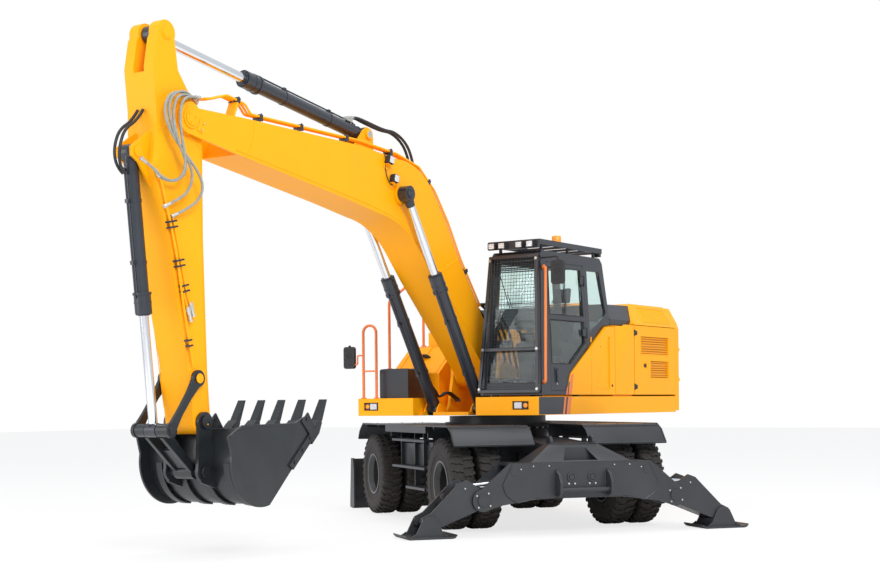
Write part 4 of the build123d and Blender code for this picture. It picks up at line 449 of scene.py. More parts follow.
def set_out(tree, shape, finish, place, **sizes):
    """The mesh that a tree makes of this small shape, moved to its place."""
    stamp, host = show("stamp", shape), show("host", bpy.data.meshes.new("host"))
    modifier = host.modifiers.new("copies", "NODES")
    modifier.node_group = tree
    values = {"Shape": stamp, "Finish": finish, **sizes}
    for socket in tree.interface.items_tree:
        if socket.in_out == "INPUT":
            modifier[socket.identifier] = values[socket.name]
    mesh = as_made(host)
    mesh.transform(place)
    if place.is_negative:  # a place that mirrors would turn the shape inside out
        mesh.flip_normals()
    for thing in (host, stamp):
        bpy.data.objects.remove(thing)
    return mesh


def join_meshes(meshes):
    """One mesh out of several."""
    bm = bmesh.new()
    for mesh in meshes:
        bm.from_mesh(mesh)
    return closed(bm, "whole")


def small_mesh(name, build):
    """A little mesh, made by the given function, with its faces turned outwards."""
    bm = bmesh.new()
    build(bm)
    bmesh.ops.recalc_face_normals(bm, faces=bm.faces)
    return closed(bm, name)


def short_bar(low, high, radius, sides, far_radius=None):
    """A short bar for copying, which stands on its own origin."""
    return small_mesh("bar", lambda bm: add_bar(bm, Matrix(), (0, 0, low), (0, 0, high), radius, sides, far_radius))


print("a short bar has", len(short_bar(0, 1, 1, 6).polygons), "faces")

# %% [markdown]
# ## Wheels
# A tyre could be one lathe turned shape with a picture of a tread. Seen this close the tread has to be real
# rubber blocks. Each tyre gets a smooth carcass with its bead and side rings, and two rows of slanted lugs
# whose feet sink into it. The two rows are half a pitch apart, which gives the zigzag groove between them.

# %% Tyre carcass
TYRE_RADIUS = 0.515
TYRE_HALF = 0.139
TREAD_DEPTH = 0.021
CARCASS = (  # radius, share of the half width
    (0.263, 0.80), (0.272, 0.84), (0.292, 0.885), (0.318, 0.935), (0.350, 0.975), (0.385, 0.99),
    (0.418, 0.98), (0.446, 0.945), (0.466, 0.90), (0.481, 0.80), (0.489, 0.60), (0.493, 0.30), (0.494, 0.0))


def add_carcass(bm, place, middle, sides=96):
    """A turned tyre body about the wheel's axle, which is Y."""
    line = [(r, middle + TYRE_HALF * s) for r, s in CARCASS]
    line += [(r, middle - TYRE_HALF * s) for r, s in CARCASS[-2::-1]]
    loops = [[bm.verts.new(place @ Vector((r * a, y, r * b))) for r, y in line] for a, b in circle_of(sides, 1)]
    for near, far in zip(loops, loops[1:] + loops[:1]):
        add_band(bm, near, far)


print("tyre section:", 2 * len(CARCASS) - 1, "points")

# %% [markdown]
# One lug is a block that is bent twice, like a lazy Z. Its outer end wraps down over the shoulder, where it
# bites into the side of a rut. It's drawn lying on the tread, X outwards, Y across, Z along the tread.

# %% One tread lug
LUG_LINE = (  # across from the middle, along the tread
    (0.006, 0.030), (0.050, 0.012), (0.078, 0.020), (0.118, -0.004), (0.133, -0.006))
LUG_HALF = 0.0155


def add_lug(bm, side):
    """A slanted block of rubber from near the middle of the tread to its shoulder."""
    top = [(TYRE_RADIUS - (0.004 if k < 3 else (0.010, 0.030)[k - 3]), side * a, z)
           for k, (a, z) in enumerate(LUG_LINE)]
    for k in range(len(LUG_LINE) - 1):
        corners = []
        for (x, y, z) in (top[k], top[k + 1]):
            foot = x - TREAD_DEPTH - 0.012
            corners.append([Vector((p, y, z + q)) for p, q in (
                (foot, -LUG_HALF - 0.003), (x, -LUG_HALF), (x, LUG_HALF), (foot, LUG_HALF + 0.003))])
        near, far = [[bm.verts.new(p) for p in ring] for ring in corners]
        add_band(bm, near, far)
        if k == 0:
            bm.faces.new(near)
        if k == len(LUG_LINE) - 2:
            bm.faces.new(far)
    bmesh.ops.remove_doubles(bm, verts=bm.verts, dist=0.0001)


def lug_mesh(side):
    """The lug moved so that its own origin is on the tread line, as the ring tree wants it."""
    mesh = small_mesh("lug", lambda bm: add_lug(bm, side))
    mesh.transform(Matrix.Translation((-TYRE_RADIUS, 0, 0)))
    # the ring lies in the XY plane of its tree, so the lug's Y and Z change places
    mesh.transform(Matrix.Rotation(math.radians(90), 4, "X"))
    return mesh


# %% [markdown]
# The ring tree works in its own XY plane, and the wheel's axle is the Y of the chassis. A quarter turn about
# X takes one to the other. The two halves of each tread mirror each other by using the other lug.

# %% Tyres on their wheels
OUTER_TYRE = 1.136
INNER_TYRE = 0.811
LUGS = 34
WHEELS = {"rear_left": (-1.55, 1), "rear_right": (-1.55, -1), "front_left": (1.25, 1), "front_right": (1.25, -1)}
CHASSIS_M = CHASSIS @ Matrix.Scale(1000, 4)
LUG = {side: lug_mesh(side) for side in (1, -1)}
for wheel, (axle_x, sign) in WHEELS.items():
    on_axle = CHASSIS_M @ Matrix.Translation((axle_x, 0, TYRE_RADIUS))
    bm = bmesh.new()
    for y in (OUTER_TYRE, INNER_TYRE):
        add_carcass(bm, on_axle, sign * y)
        for edge in (0.93, -0.93):  # a raised ring round each side wall
            centre = (0, sign * y + edge * TYRE_HALF, 0)
            add_ring(bm, on_axle, centre, (0, edge, 0), 0.338, 0.326, 0.007, 64)
    bmesh.ops.recalc_face_normals(bm, faces=bm.faces)
    parts = [closed(bm, "carcass")]
    for y in (OUTER_TYRE, INNER_TYRE):
        to_wheel = on_axle @ Matrix.Translation((0, sign * y, 0)) @ Matrix.Rotation(math.radians(-90), 4, "X")
        for side in (1, -1):
            parts.append(set_out(RING_TREE, LUG[side], RUBBER, to_wheel, Count=LUGS, Radius=TYRE_RADIUS,
                                 Start=math.pi / LUGS * (side < 0)))
    finish_mesh(join_meshes(parts), "tread_tyres_" + wheel, "wheel_" + wheel, RUBBER,
                replaces=("tyres_" + wheel,))
print("tyres with", 4 * LUGS, "lugs a wheel")

# %% [markdown]
# ## Softened panels
# The panels that show large get the small radius on their edges.

# %% Soften the large panels
SOFT_PANELS = (  # node, edge radius in metres, slot
    ("upper_frame", 0.006, "yellow_paint"), ("counterweight", 0.030, "yellow_paint"),
    ("engine_housing", 0.006, "yellow_paint"), ("engine_hood", 0.010, "yellow_paint"),
    ("engine_door_left", 0.004, "yellow_paint"), ("engine_door_right", 0.004, "yellow_paint"),
    ("battery_door", 0.005, "yellow_paint"), ("cab_shell", 0.008, "dark_paint"), ("cab_door", 0.005, "dark_paint"),
    ("rear_cowl", 0.012, "dark_paint"), ("tool_box", 0.006, "dark_paint"), ("boom", 0.006, "yellow_paint"),
    ("arm", 0.006, "yellow_paint"), ("rocker", 0.005, "bucket_steel"), ("link", 0.004, "bucket_steel"),
    ("bucket", 0.003, "bucket_steel"), ("outrigger_beam", 0.004, "chassis_paint"),
    ("leg_left", 0.004, "chassis_paint"), ("leg_right", 0.004, "chassis_paint"),
    ("foot_left", 0.003, "chassis_paint"), ("foot_right", 0.003, "chassis_paint"),
    ("blade", 0.004, "chassis_paint"), ("fenders", 0.003, "chassis_paint"),
    ("chassis_frame", 0.005, "chassis_paint"))
for node, width, slot in SOFT_PANELS:
    soften(node, width)
print("softened", len(SOFT_PANELS), "nodes")

# %% [markdown]
# ## Pipes and hoses
# Oil reaches the cylinders through steel pipes along the boom and rubber hoses across its hinges. Both are
# drawn as lines with a round section. A NURBS line of order 3 touches the middle of every run between its
# points, so two extra points beside a corner keep a steel pipe straight right up to its bend. A hose gets no
# such points, and so it swings from end to end in one curve.


# %% Round sections along lines
def bent(points, reach=60):
    """The points of a steel pipe: each corner between two points on its own runs."""
    line = [Vector(points[0])]
    for before, corner, after in zip(points, points[1:], points[2:]):
        before, corner, after = Vector(before), Vector(corner), Vector(after)
        line += [corner + (before - corner).normalized() * reach, corner,
                 corner + (after - corner).normalized() * reach]
    return line + [Vector(points[-1])]


def line_mesh(place, lines, radius, sides=4, steps=6):
    """Tubes of one radius in millimetres along these lines, with closed ends."""
    curve = bpy.data.curves.new("line", "CURVE")
    curve.dimensions = "3D"
    for line in lines:
        spline = curve.splines.new("NURBS")
        spline.points.add(len(line) - 1)
        for point, spot in zip(spline.points, line):
            point.co = [*(place @ Vector(spot)), 1]
        spline.order_u = 3
        spline.use_endpoint_u = True
        spline.resolution_u = steps
    curve.bevel_depth = radius / 1000
    curve.bevel_resolution = sides
    curve.use_fill_caps = True
    host = show("line", curve)
    mesh = as_made(host)
    bpy.data.objects.remove(host)
    return mesh


# %% [markdown]
# Three steel pipes lie on the boom's top plate, near its left edge, and climb over the tip. Further back they
# follow the knee down to the boom's foot. Each is yellow like the boom. Black clamps hold them down, two
# halves with a bolt through each side.

# %% Pipes on the boom
BOOM_PIPE_LINE = (  # x, z beside the boom's top edge
    (620, 592), (1215, 918), (1615, 1188), (1985, 1382), (2360, 1474), (2785, 1392), (3415, 1176), (4960, 520))
TIP_CLIMB = ((5040, 486), (5150, 530), (5400, 470), (5560, 330), (5650, 272))
PIPE_ROWS = (148, 181, 214)
PIPE_RADIUS = 12
CLAMP_STATIONS = (1060, 2130, 2900, 3640, 4330, 4900)


def slope_at(line, x):
    """The height and the angle of the line at this x."""
    for (x0, z0), (x1, z1) in zip(line, line[1:]):
        if x <= x1:
            break
    return z0 + (z1 - z0) * (x - x0) / (x1 - x0), math.atan2(z1 - z0, x1 - x0)


def add_clamp(bm, place, x, z, angle, rows, height=64):
    """A pipe clamp that stands across the rows of pipes, with its two bolts."""
    spot = place @ Matrix.Translation((x, 0, z)) @ Matrix.Rotation(-angle, 4, "Y")
    low, high = min(rows) - 17, max(rows) + 17
    add_box(bm, spot, (-22, low, PIPE_RADIUS + 9 - height), (22, high, -1))
    add_box(bm, spot, (-22, low, 1), (22, high, PIPE_RADIUS + 9))
    for y in (low + 6, high - 6):
        add_bar(bm, spot, (0, y, PIPE_RADIUS + 8), (0, y, PIPE_RADIUS + 19), 8, 6)


boom_lines = [bent([(x, y, z) for x, z in BOOM_PIPE_LINE]
                   + [(x, y + 8 * (row - 1), z) for x, z in TIP_CLIMB]) for row, y in enumerate(PIPE_ROWS)]
finish_mesh(line_mesh(BOOM, boom_lines, PIPE_RADIUS), "boom_pipes", "boom", YELLOW)
right_lines = [bent([(x, -y, z) for x, z in BOOM_PIPE_LINE[:6]] + [(3150, -y, 1264)]) for y in PIPE_ROWS[:2]]
finish_mesh(line_mesh(BOOM, right_lines, PIPE_RADIUS), "boom_pipes_right", "boom", YELLOW)
bm = bmesh.new()
for rows, stations in ((PIPE_ROWS, CLAMP_STATIONS), ([-y for y in PIPE_ROWS[:2]], CLAMP_STATIONS[:3])):
    for x in stations:
        add_clamp(bm, BOOM, x, *slope_at(BOOM_PIPE_LINE, x), rows)
add_clamp(bm, BOOM, 5250, 513, -0.2, [y + d for y, d in zip(PIPE_ROWS, (-8, 0, 8))], 52)
finish_piece(bm, "boom_pipe_clamps", "boom", CAB_BLACK, 0.0015)
print("pipes:", len(boom_lines) + len(right_lines), "on the boom,", len(CLAMP_STATIONS) + 4, "clamps")

# %% [markdown]
# ## The arm's pipes
# On the arm's left face, pipes drop from the hose ends to the bucket end. A long one follows the front edge,
# and two shorter ones run down the face to a pair of couplers for a hydraulic tool.

# %% Pipes on the arm
ARM_FACE = 180
ARM_LINES = (  # points of each pipe down the arm: x, z
    ((560, 415), (660, 385), (1200, 262), (1760, 196), (2260, 118)),
    ((905, 282), (1010, 262), (1620, 150), (1700, 118)),
    ((815, 352), (1000, 306), (1640, 186), (1740, 150)))
ARM_CLAMPS = (  # x, z of the middle, angle, height across the pipes
    (980, 290, -0.16, 104), (1330, 222, -0.17, 106), (1560, 172, -0.17, 92), (2060, 152, -0.15, 60))
arm_lines = [bent([(x, ARM_FACE + 34, z) for x, z in line], 40) for line in ARM_LINES]
finish_mesh(line_mesh(ARM, arm_lines, 11), "arm_pipes", "arm", YELLOW)
bm = bmesh.new()
for x, z, angle, tall in ARM_CLAMPS:
    spot = ARM @ Matrix.Translation((x, 0, z)) @ Matrix.Rotation(-angle, 4, "Y")
    for step in (-26, 26):
        add_box(bm, spot, (step - 8, ARM_FACE - 2, -tall / 2), (step + 8, ARM_FACE + 50, tall / 2))
        for bolt in (9 - tall / 2, tall / 2 - 9):
            add_pin(bm, spot, step, bolt, ARM_FACE + 49, ARM_FACE + 57, 7, 6)
finish_piece(bm, "arm_pipe_clamps", "arm", CAB_BLACK, 0.0012)
bm = bmesh.new()
for x, z in ((1745, 92), (1790, 130)):  # couplers with a hexagon and a collar
    add_bar(bm, ARM, (x - 60, ARM_FACE + 34, z + 18), (x + 10, ARM_FACE + 34, z), 21, 6)
    add_bar(bm, ARM, (x + 10, ARM_FACE + 34, z), (x + 62, ARM_FACE + 34, z - 12), 17, 20)
    add_bar(bm, ARM, (x + 62, ARM_FACE + 34, z - 12), (x + 74, ARM_FACE + 34, z - 15), 24, 20)
    add_box(bm, ARM, (x - 40, ARM_FACE - 2, z - 12), (x - 10, ARM_FACE + 20, z + 28))
finish_piece(bm, "arm_couplers", "arm", ZINC, 0.001)
print("arm pipes:", len(ARM_LINES))

# %% [markdown]
# Four sleeved hoses leave the pipes over the boom's tip, loop forward round the arm's top and come back to
# its left face. Their fittings follow two bodies: where they leave they stay with the boom, and where they land,
# with the arm. The hoses between them stay fixed in the scene.

# %% Hoses across the arm's hinge
ARM_HOSES = (  # points from the boom's tip to the arm: x down the arm, y, z forward
    ((-176, 156, -135), (-225, 190, -20), (-225, 240, 130), (-185, 268, 300), (-40, 276, 385), (140, 284, 340),
     (324, 290, 180), (481, 300, 20), (620, 300, -52), (741, 282, -20), (840, 256, 130), (896, 222, 262)),
    ((-182, 180, -120), (-240, 225, 10), (-215, 262, 200), (-110, 286, 330), (40, 296, 340), (220, 296, 265),
     (400, 292, 120), (540, 286, 60), (690, 268, 120), (770, 240, 260), (808, 218, 345)),
    ((-190, 204, -110), (-210, 252, 40), (-170, 290, 220), (-40, 306, 300), (120, 312, 300), (300, 310, 230),
     (440, 300, 150), (560, 280, 190), (600, 250, 320), (570, 226, 430), (535, 218, 448)),
    ((-196, 228, -104), (-190, 280, 60), (-120, 312, 190), (30, 326, 240), (220, 330, 230), (390, 318, 180),
     (540, 292, 190), (610, 262, 300), (560, 240, 430), (480, 226, 520), (424, 206, 600)))
hoses = finish_mesh(line_mesh(ARM, ARM_HOSES, 13, 4, 10), "arm_hoses", None, HOSE_GREY)
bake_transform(hoses)
for body, end, sleeve, step, nut, wide in (("boom", 1, 30, 26, 52, 22), ("arm", -1, 34, 20, 40, 21)):
    bm = bmesh.new()
    for line in ARM_HOSES:  # a crimped sleeve and a hexagon nut at this end
        tip, before = [Vector(point) for point in line[::end][:2]]
        away = (tip - before).normalized()
        add_bar(bm, ARM, tip - away * sleeve, tip + away * step, 17, 20)
        add_bar(bm, ARM, tip + away * step, tip + away * nut, wide, 6)
    finish_piece(bm, body + "_hose_fittings", body, ZINC, 0.001)
print("hoses across the arm's hinge:", len(ARM_HOSES))

# %% [markdown]
# ## The guard before the windscreen
# Woven wire is a grid whose edges carry a round section. A tree makes it flat, the guard's sloping frame gives
# its plane, and two cuts trim it to the frame's leaning sides, a little way into the bars that hold it.

# %% Woven wire
WIRE_TREE, given, result = new_tree("woven_wire", (
    ("Columns", "Int", 10), ("Rows", "Int", 10), ("Width", "Float", 1.0), ("Height", "Float", 1.0),
    ("Wire", "Float", 0.002), ("Shape", "Object", None), ("Finish", "Material", None)))
net, edges, profile, tube, finish = add_nodes(
    WIRE_TREE, "GeometryNodeMeshGrid", "GeometryNodeMeshToCurve", "GeometryNodeCurvePrimitiveCircle",
    "GeometryNodeCurveToMesh", "GeometryNodeSetMaterial")
profile.inputs["Resolution"].default_value = 4
wire_up(WIRE_TREE, *((given, label, net, socket) for label, socket in GRID_SIZES),
        (given, "Wire", profile, "Radius"), (net, "Mesh", edges, "Mesh"), (edges, "Curve", tube, "Curve"),
        (profile, "Curve", tube, "Profile Curve"), (tube, "Mesh", finish, "Geometry"),
        (given, "Finish", finish, "Material"), (finish, "Geometry", result, "Geometry"))

GUARD_FOOT = Vector((1080, 0, 1500))
GUARD_UP = Vector((-150, 0, 1630)).normalized()
GUARD_OUT = Vector((1630, 0, 150)).normalized()
MESH_Y = 852
MESH_OUT = 61


def guard_spot(y, height, out):
    """A point of the guard's plane, in the upper structure's drawing."""
    return GUARD_FOOT + Vector((0, y, 0)) + GUARD_UP * height + GUARD_OUT * out


wire = set_out(WIRE_TREE, small_mesh("none", lambda bm: None), CAB_BLACK, Matrix(), Columns=22, Rows=42,
               Width=808.0, Height=1590.0, Wire=2.6)
bm = bmesh.new()
bm.from_mesh(wire)
for vertex in bm.verts:
    y, height, out = vertex.co
    vertex.co = UPPER @ guard_spot(MESH_Y + y, 815 + height, MESH_OUT + out)
for side in (1, -1):  # cut along the leaning side of the frame
    low, high = guard_spot(MESH_Y + side * 392, 20, MESH_OUT), guard_spot(MESH_Y + side * 308, 1610, MESH_OUT)
    outward = (high - low).cross(GUARD_OUT)
    if outward.y * side < 0:
        outward = -outward
    bmesh.ops.bisect_plane(bm, geom=bm.verts[:] + bm.edges[:] + bm.faces[:], plane_co=UPPER @ low,
                           plane_no=outward, clear_outer=True)
bmesh.ops.holes_fill(bm, edges=[edge for edge in bm.edges if edge.is_boundary], sides=6)
finish_piece(bm, "guard_mesh", "upper", CAB_BLACK)
print("guard:", made["guard_mesh"], "faces of wire")

# %% [markdown]
# The guard is held by six bolts with domed heads. Behind its top hang the slats of a sun visor.

# %% Bolts and visor
SEAT_Y = 852.5
bm = bmesh.new()
for height, half in ((60, 386), (520, 362), (1560, 308)):  # a washer and a domed head at each fixing
    for y in (SEAT_Y - half, SEAT_Y + half):
        spot = guard_spot(y, height, 76)
        add_bar(bm, UPPER, spot, spot + GUARD_OUT * 5, 17, 20)
        add_bar(bm, UPPER, spot + GUARD_OUT * 4.8, spot + GUARD_OUT * 13, 12.5, 12, 9)
finish_piece(bm, "guard_bolts", "upper", ZINC, 0.001)
bm = bmesh.new()
for step in range(7):
    slat = guard_spot(0, 1428 + 22 * step, 12)
    add_pin(bm, UPPER, slat.x, slat.z, 545, 1160, 7, 6)
finish_piece(bm, "visor_slats", "upper", TRIM, 0.001)
print("slats:", step + 1)

# %% [markdown]
# ## Lamps
# Each roof lamp is a finned housing with a clear lens over rows of small reflectors. The beacon is a fluted
# amber cap on a dark cone. The head lamps have upright flutes, and the indicators beside them a ring.

# %% Work lamps on the roof
REFLECTOR = coat("lamp_reflector", (0.80, 0.82, 0.85), 0.25, metallic=0.2, shift=0.1, fine=60, lift=0.02)
ROOF_LAMPS = [(1040, y, 3227, 0) for y in (585, 720, 950, 1095)] + [(-570, 1110, 3229, math.pi)]
ALONG_X = Matrix(((0, 0, 1, 0), (1, 0, 0, 0), (0, 1, 0, 0), (0, 0, 0, 1)))  # a tree's Z becomes X


def add_surround(bm, place, near, far, wide, tall, side, rail, lap=1):
    """Four bars round a field that faces along X, from its half sizes and the bars' widths."""
    inner = tall - rail
    for end in (-1, 1):
        add_box(bm, place, (near, -wide, end * inner), (far, wide, end * tall))
        add_box(bm, place, (near, end * (wide - side), -inner - lap), (far, end * wide, inner + lap))


bm, frames, cups = bmesh.new(), bmesh.new(), []
for x, y, z, turn in ROOF_LAMPS:
    at = UPPER @ Matrix.Translation((x, y, z)) @ Matrix.Rotation(turn, 4, "Z")
    cups.append(set_out(GRID_TREE, short_bar(0, 3, 9, 10, 6), REFLECTOR, at @ ALONG_X, Columns=4, Rows=3,
                        Width=62.0, Height=44.0))
    add_box(bm, at, (0, -40, -31), (2, 40, 31))
    add_box(frames, at, (-50, -48, -38), (0, 48, 38))
    add_surround(frames, at, 0, 8, 48, 39, 8, 7)
    for fin in range(5):  # cooling fins on the back of the housing
        add_box(frames, at, (-62, -40 + 18 * fin, -30), (-49, -35 + 18 * fin, 30))
    add_bar(frames, at, (-22, 0, -46), (-22, 0, -36), 9, 12)
for y in (1035, -1075):  # the plates behind the head lamps
    add_box(frames, UPPER, (1154, y - 105, 1336), (1165, y + 105, 1426))
finish_piece(frames, "lamp_frames", "upper", TRIM, 0.001, ("lamps",))
finish_mesh(join_meshes(cups), "lamp_cups", "upper", REFLECTOR)
finish_piece(bm, "lamp_lenses", "upper", LENS)
print("work lamps:", len(ROOF_LAMPS))

# %% Head lamps, indicators and the beacon
bm = bmesh.new()
for y, turn in ((1035, 1), (-1075, -1)):
    add_box(bm, UPPER, (1164, y - turn * 34 - 46, 1346), (1174, y - turn * 34 + 46, 1416))
    for step in range(9):  # upright flutes of the head lamp
        across = y + turn * (-74 + 10 * step)
        add_bar(bm, UPPER, (1176, across, 1350), (1176, across, 1412), 5.4, 10)
finish_piece(bm, "head_lenses", "upper", LENS)
bm = bmesh.new()
for y in (1095, -1135):
    add_bar(bm, UPPER, (1164, y, 1381), (1174, y, 1381), 29, 28, 22)
    add_ring(bm, UPPER, (1173, y, 1381), (1, 0, 0), 17, 12, 2.5, 24)
    add_bar(bm, UPPER, (1173, y, 1381), (1176, y, 1381), 7, 12, 4)
finish_piece(bm, "indicator_lenses", "upper", AMBER, 0.0008)

bm = bmesh.new()
FLUTES = 72
on_beacon = UPPER @ Matrix.Translation((350, 1060, 0))
rings = []
for radius, z in ((53, 3276), (55, 3279), (55, 3362), (51, 3371), (40, 3377)):
    outer, groove = circle_of(FLUTES, radius), circle_of(FLUTES, radius - 1.6)
    rings.append([bm.verts.new(on_beacon @ Vector((*(outer if i % 3 else groove)[i], z))) for i in range(FLUTES)])
for low, high in zip(rings, rings[1:]):
    add_band(bm, low, high)
bm.faces.new(rings[-1])
bm.faces.new(rings[0][::-1])
finish_piece(bm, "beacon_cap", "upper", AMBER)
bm = bmesh.new()
add_bar(bm, on_beacon, (0, 0, 3245), (0, 0, 3258), 26, 24)
add_bar(bm, on_beacon, (0, 0, 3252), (0, 0, 3276), 30, 32, 58)
add_ring(bm, on_beacon, (0, 0, 3270), (0, 0, 1), 60, 50, 8, 48)
finish_piece(bm, "beacon_foot", "upper", TRIM, 0.001)
print("beacon with", FLUTES // 3, "flutes")

# %% [markdown]
# ## The operator's place
# Only the seat is soft. Its cushion, back and head rest start as plain blocks a little too small. They are
# remeshed into even quads and blown up by a few frames of cloth simulation, so the sides pull in between the
# corners. A cap keeps every point near its start. Piping along the edges is added afterwards.


# %% A cushion blown up from a block
PUFF_FRAMES = 20


def puffed(place, outline, low, high, voxel=0.010, cap=0.014):
    """A crowned cushion from a plate of this outline across Y."""
    bm = bmesh.new()
    add_plate(bm, place, outline, low, high)
    bmesh.ops.recalc_face_normals(bm, faces=bm.faces)
    bmesh.ops.bevel(bm, geom=bm.edges[:], offset=0.018, segments=3, profile=0.5, affect="EDGES")
    host = show("pad", closed(bm, "block"))
    even = host.modifiers.new("even", "REMESH")
    even.mode = "VOXEL"
    even.voxel_size = voxel
    quads = as_made(host)
    host.modifiers.clear()
    host.data = quads
    cloth = host.modifiers.new("puff", "CLOTH")
    cloth.settings.use_pressure = True
    cloth.settings.uniform_pressure_force = 4
    cloth.settings.effector_weights.gravity = 0
    cloth.point_cache.frame_end = PUFF_FRAMES
    for step in range(1, PUFF_FRAMES + 1):
        bpy.context.scene.frame_set(step)
    blown = as_made(host)
    for vertex, puffed_vertex in zip(quads.vertices, blown.vertices):
        move = puffed_vertex.co - vertex.co
        if move.length > cap:
            move *= cap / move.length
        vertex.co += move
    host.modifiers.clear()
    bpy.context.scene.frame_set(1)
    host.modifiers.new("smooth", "SUBSURF").levels = 1
    mesh = as_made(host)
    bpy.data.objects.remove(host)
    return mesh


SEAT_PADS = (  # name, outline across the seat, half width, piping lines
    ("seat_cushion", ((12, 1852), (10, 1940), (400, 1948), (428, 1925), (428, 1870), (405, 1852)), 222,
     ((24, 1952), (395, 1960), (428, 1948))),
    ("seat_back", ((100, 1968), (10, 1968), (-22, 2160), (-135, 2540), (-62, 2566), (40, 2200)), 212,
     ((104, 2010), (42, 2200), (-52, 2560))),
    ("head_rest", ((-72, 2612), (-132, 2606), (-176, 2785), (-122, 2800)), 118, ((-66, 2640), (-108, 2790))))
for name, outline, half, piping in SEAT_PADS:
    pad = puffed(UPPER, outline, SEAT_Y - half, SEAT_Y + half)
    lines = [[(x, SEAT_Y + side * half * 0.62, z) for x, z in piping] for side in (1, -1)]
    seams = line_mesh(UPPER, lines, 3.5, 2, 4)
    piece = finish_mesh(join_meshes([pad, seams]), name, "upper", SEAT_CLOTH,
                        replaces=("cab_interior",))
print("seat:", ", ".join(pad[0] for pad in SEAT_PADS))

# %% [markdown]
# Around the seat stand what hands and feet need: a bellows under the cushion, a console with a lever at each
# side, the steering column with its wheel, two pedals, and a display on the front pillar.

# %% Controls around the seat
bm = bmesh.new()
for fold in range(6):  # the bellows of the suspension
    grow = 12 * (fold % 2)
    add_box(bm, UPPER, (30 - grow, SEAT_Y - 165 - grow, 1600 + 38 * fold),
            (350 + grow, SEAT_Y + 165 + grow, 1640 + 38 * fold))
add_box(bm, UPPER, (0, SEAT_Y - 185, 1551), (380, SEAT_Y + 185, 1602))
add_plate(bm, UPPER, ((0, 1828), (380, 1828), (410, 1852), (-20, 1852)), SEAT_Y - 200, SEAT_Y + 200)
for low, high in ((SEAT_Y - 330, SEAT_Y - 245), (SEAT_Y + 241, SEAT_Y + 278)):
    add_plate(bm, UPPER, ((20, 1551), (330, 1551), (352, 1900), (416, 2080), (400, 2124), (330, 2130), (60, 2112),
                          (0, 2070), (0, 1600)), low, high)
    add_plate(bm, UPPER, ((-10, 2120), (230, 2130), (240, 2158), (10, 2160)), low + 4, high - 4)
for y in (SEAT_Y - 288, SEAT_Y + 260):  # levers: boot, stem and grip
    for ring in range(4):
        add_bar(bm, UPPER, (345, y, 2126 + 9 * ring), (345, y, 2136 + 9 * ring), 17 - 3 * ring, 20)
    add_bar(bm, UPPER, (345, y, 2160), (362, y, 2205), 7, 12)
    add_bar(bm, UPPER, (360, y, 2200), (392, y, 2290), 15, 16, 19)
    add_bar(bm, UPPER, (391, y, 2288), (396, y, 2303), 19, 16, 12)
add_plate(bm, UPPER, ((708, 1551), (812, 1551), (760, 1900), (700, 2200), (640, 2214), (680, 1900)),
          SEAT_Y - 58, SEAT_Y + 58)
add_plate(bm, UPPER, ((625, 2190), (720, 2150), (735, 2190), (650, 2236)), SEAT_Y - 82, SEAT_Y + 82)
for side in (-1, 1):  # pedals with ribbed pads
    y = SEAT_Y + side * 120
    add_bar(bm, UPPER, (830, y, 1552), (800, y, 1640), 9, 12)
    for rib in range(5):
        add_box(bm, UPPER, (735 + 22 * rib, y - 45, 1630 + 12 * rib), (753 + 22 * rib, y + 45, 1642 + 12 * rib))
add_box(bm, UPPER, (60, 520, 1551), (860, 1185, 1558))  # the floor mat
finish_piece(bm, "cab_controls", "upper", TRIM, 0.003, ("cab_interior",))
print("controls:", made["cab_controls"], "faces")

# %% Steering wheel and display
tilt = Vector((-0.5, 0, 0.85)).normalized()
WHEEL = Matrix((Vector((0, 1, 0)), Vector((0, 1, 0)).cross(tilt), tilt)).transposed().to_4x4()
on_column = UPPER @ Matrix.Translation((630, SEAT_Y, 2266)) @ WHEEL
rim = [(a, b, 0) for a, b in circle_of(48, 176)]
spokes = [[(165 * math.cos(turn), 165 * math.sin(turn), 0), (90 * math.cos(turn), 90 * math.sin(turn), -16),
           (0, 0, -8)] for turn in (0.35, 2.79, 4.71)]
parts = [line_mesh(on_column, [rim + rim[:1]], 14, 4, 2), line_mesh(on_column, spokes, 11, 3, 6),
         small_mesh("hub", lambda b: add_bar(b, on_column, (0, 0, -18), (0, 0, 10), 46, 28, 34))]
finish_mesh(join_meshes(parts), "steering_wheel", "upper", TRIM, replaces=("cab_interior",))

bm = bmesh.new()
screen = UPPER @ Matrix.Translation((760, 560, 2080)) @ Matrix.Rotation(math.radians(25), 4, "Z")
add_box(bm, screen, (-12, -90, -65), (12, 90, 65))
add_surround(bm, screen, -17, -10, 90, 65, 10, 10)
add_bar(bm, screen, (8, 0, -60), (60, 20, -190), 10, 12)
finish_piece(bm, "cab_display", "upper", TRIM, 0.002)
print("spokes:", len(spokes))

# %% [markdown]
# ## The outside of the cab
# A wiper lies across the windscreen. The door gets a rubber seal in its gap, a sunk handle with a lock, two
# hinges on its rear edge, and a sliding pane with a frame. The mirrors get their glass.

# %% Wiper, door fittings and mirror glass
LEAN = math.radians(3.1)


def door_spot(x, z, out=0.0):
    """A point on the cab's leaning left side, this far out of it."""
    return Vector((x, 1265 - 90 * (z - 1500) / 1660 + out * math.cos(LEAN), z + out * math.sin(LEAN)))


def cornered(points, share):
    """The points of a closed line with tight corners: each run gets two more, this share from its ends."""
    line = [*points, points[0]]
    return [spot for a, b in zip(line, line[1:]) for spot in (a, a.lerp(b, share), a.lerp(b, 1 - share))] + line[:1]


bm = bmesh.new()
add_bar(bm, UPPER, guard_spot(980, 640, -6), guard_spot(980, 640, 16), 16, 20)
add_bar(bm, UPPER, guard_spot(980, 640, 8), guard_spot(760, 1180, 8), 6, 8, 4)
add_bar(bm, UPPER, guard_spot(880, 780, 4), guard_spot(640, 1420, 4), 5, 6)
finish_piece(bm, "wiper", "upper", TRIM)

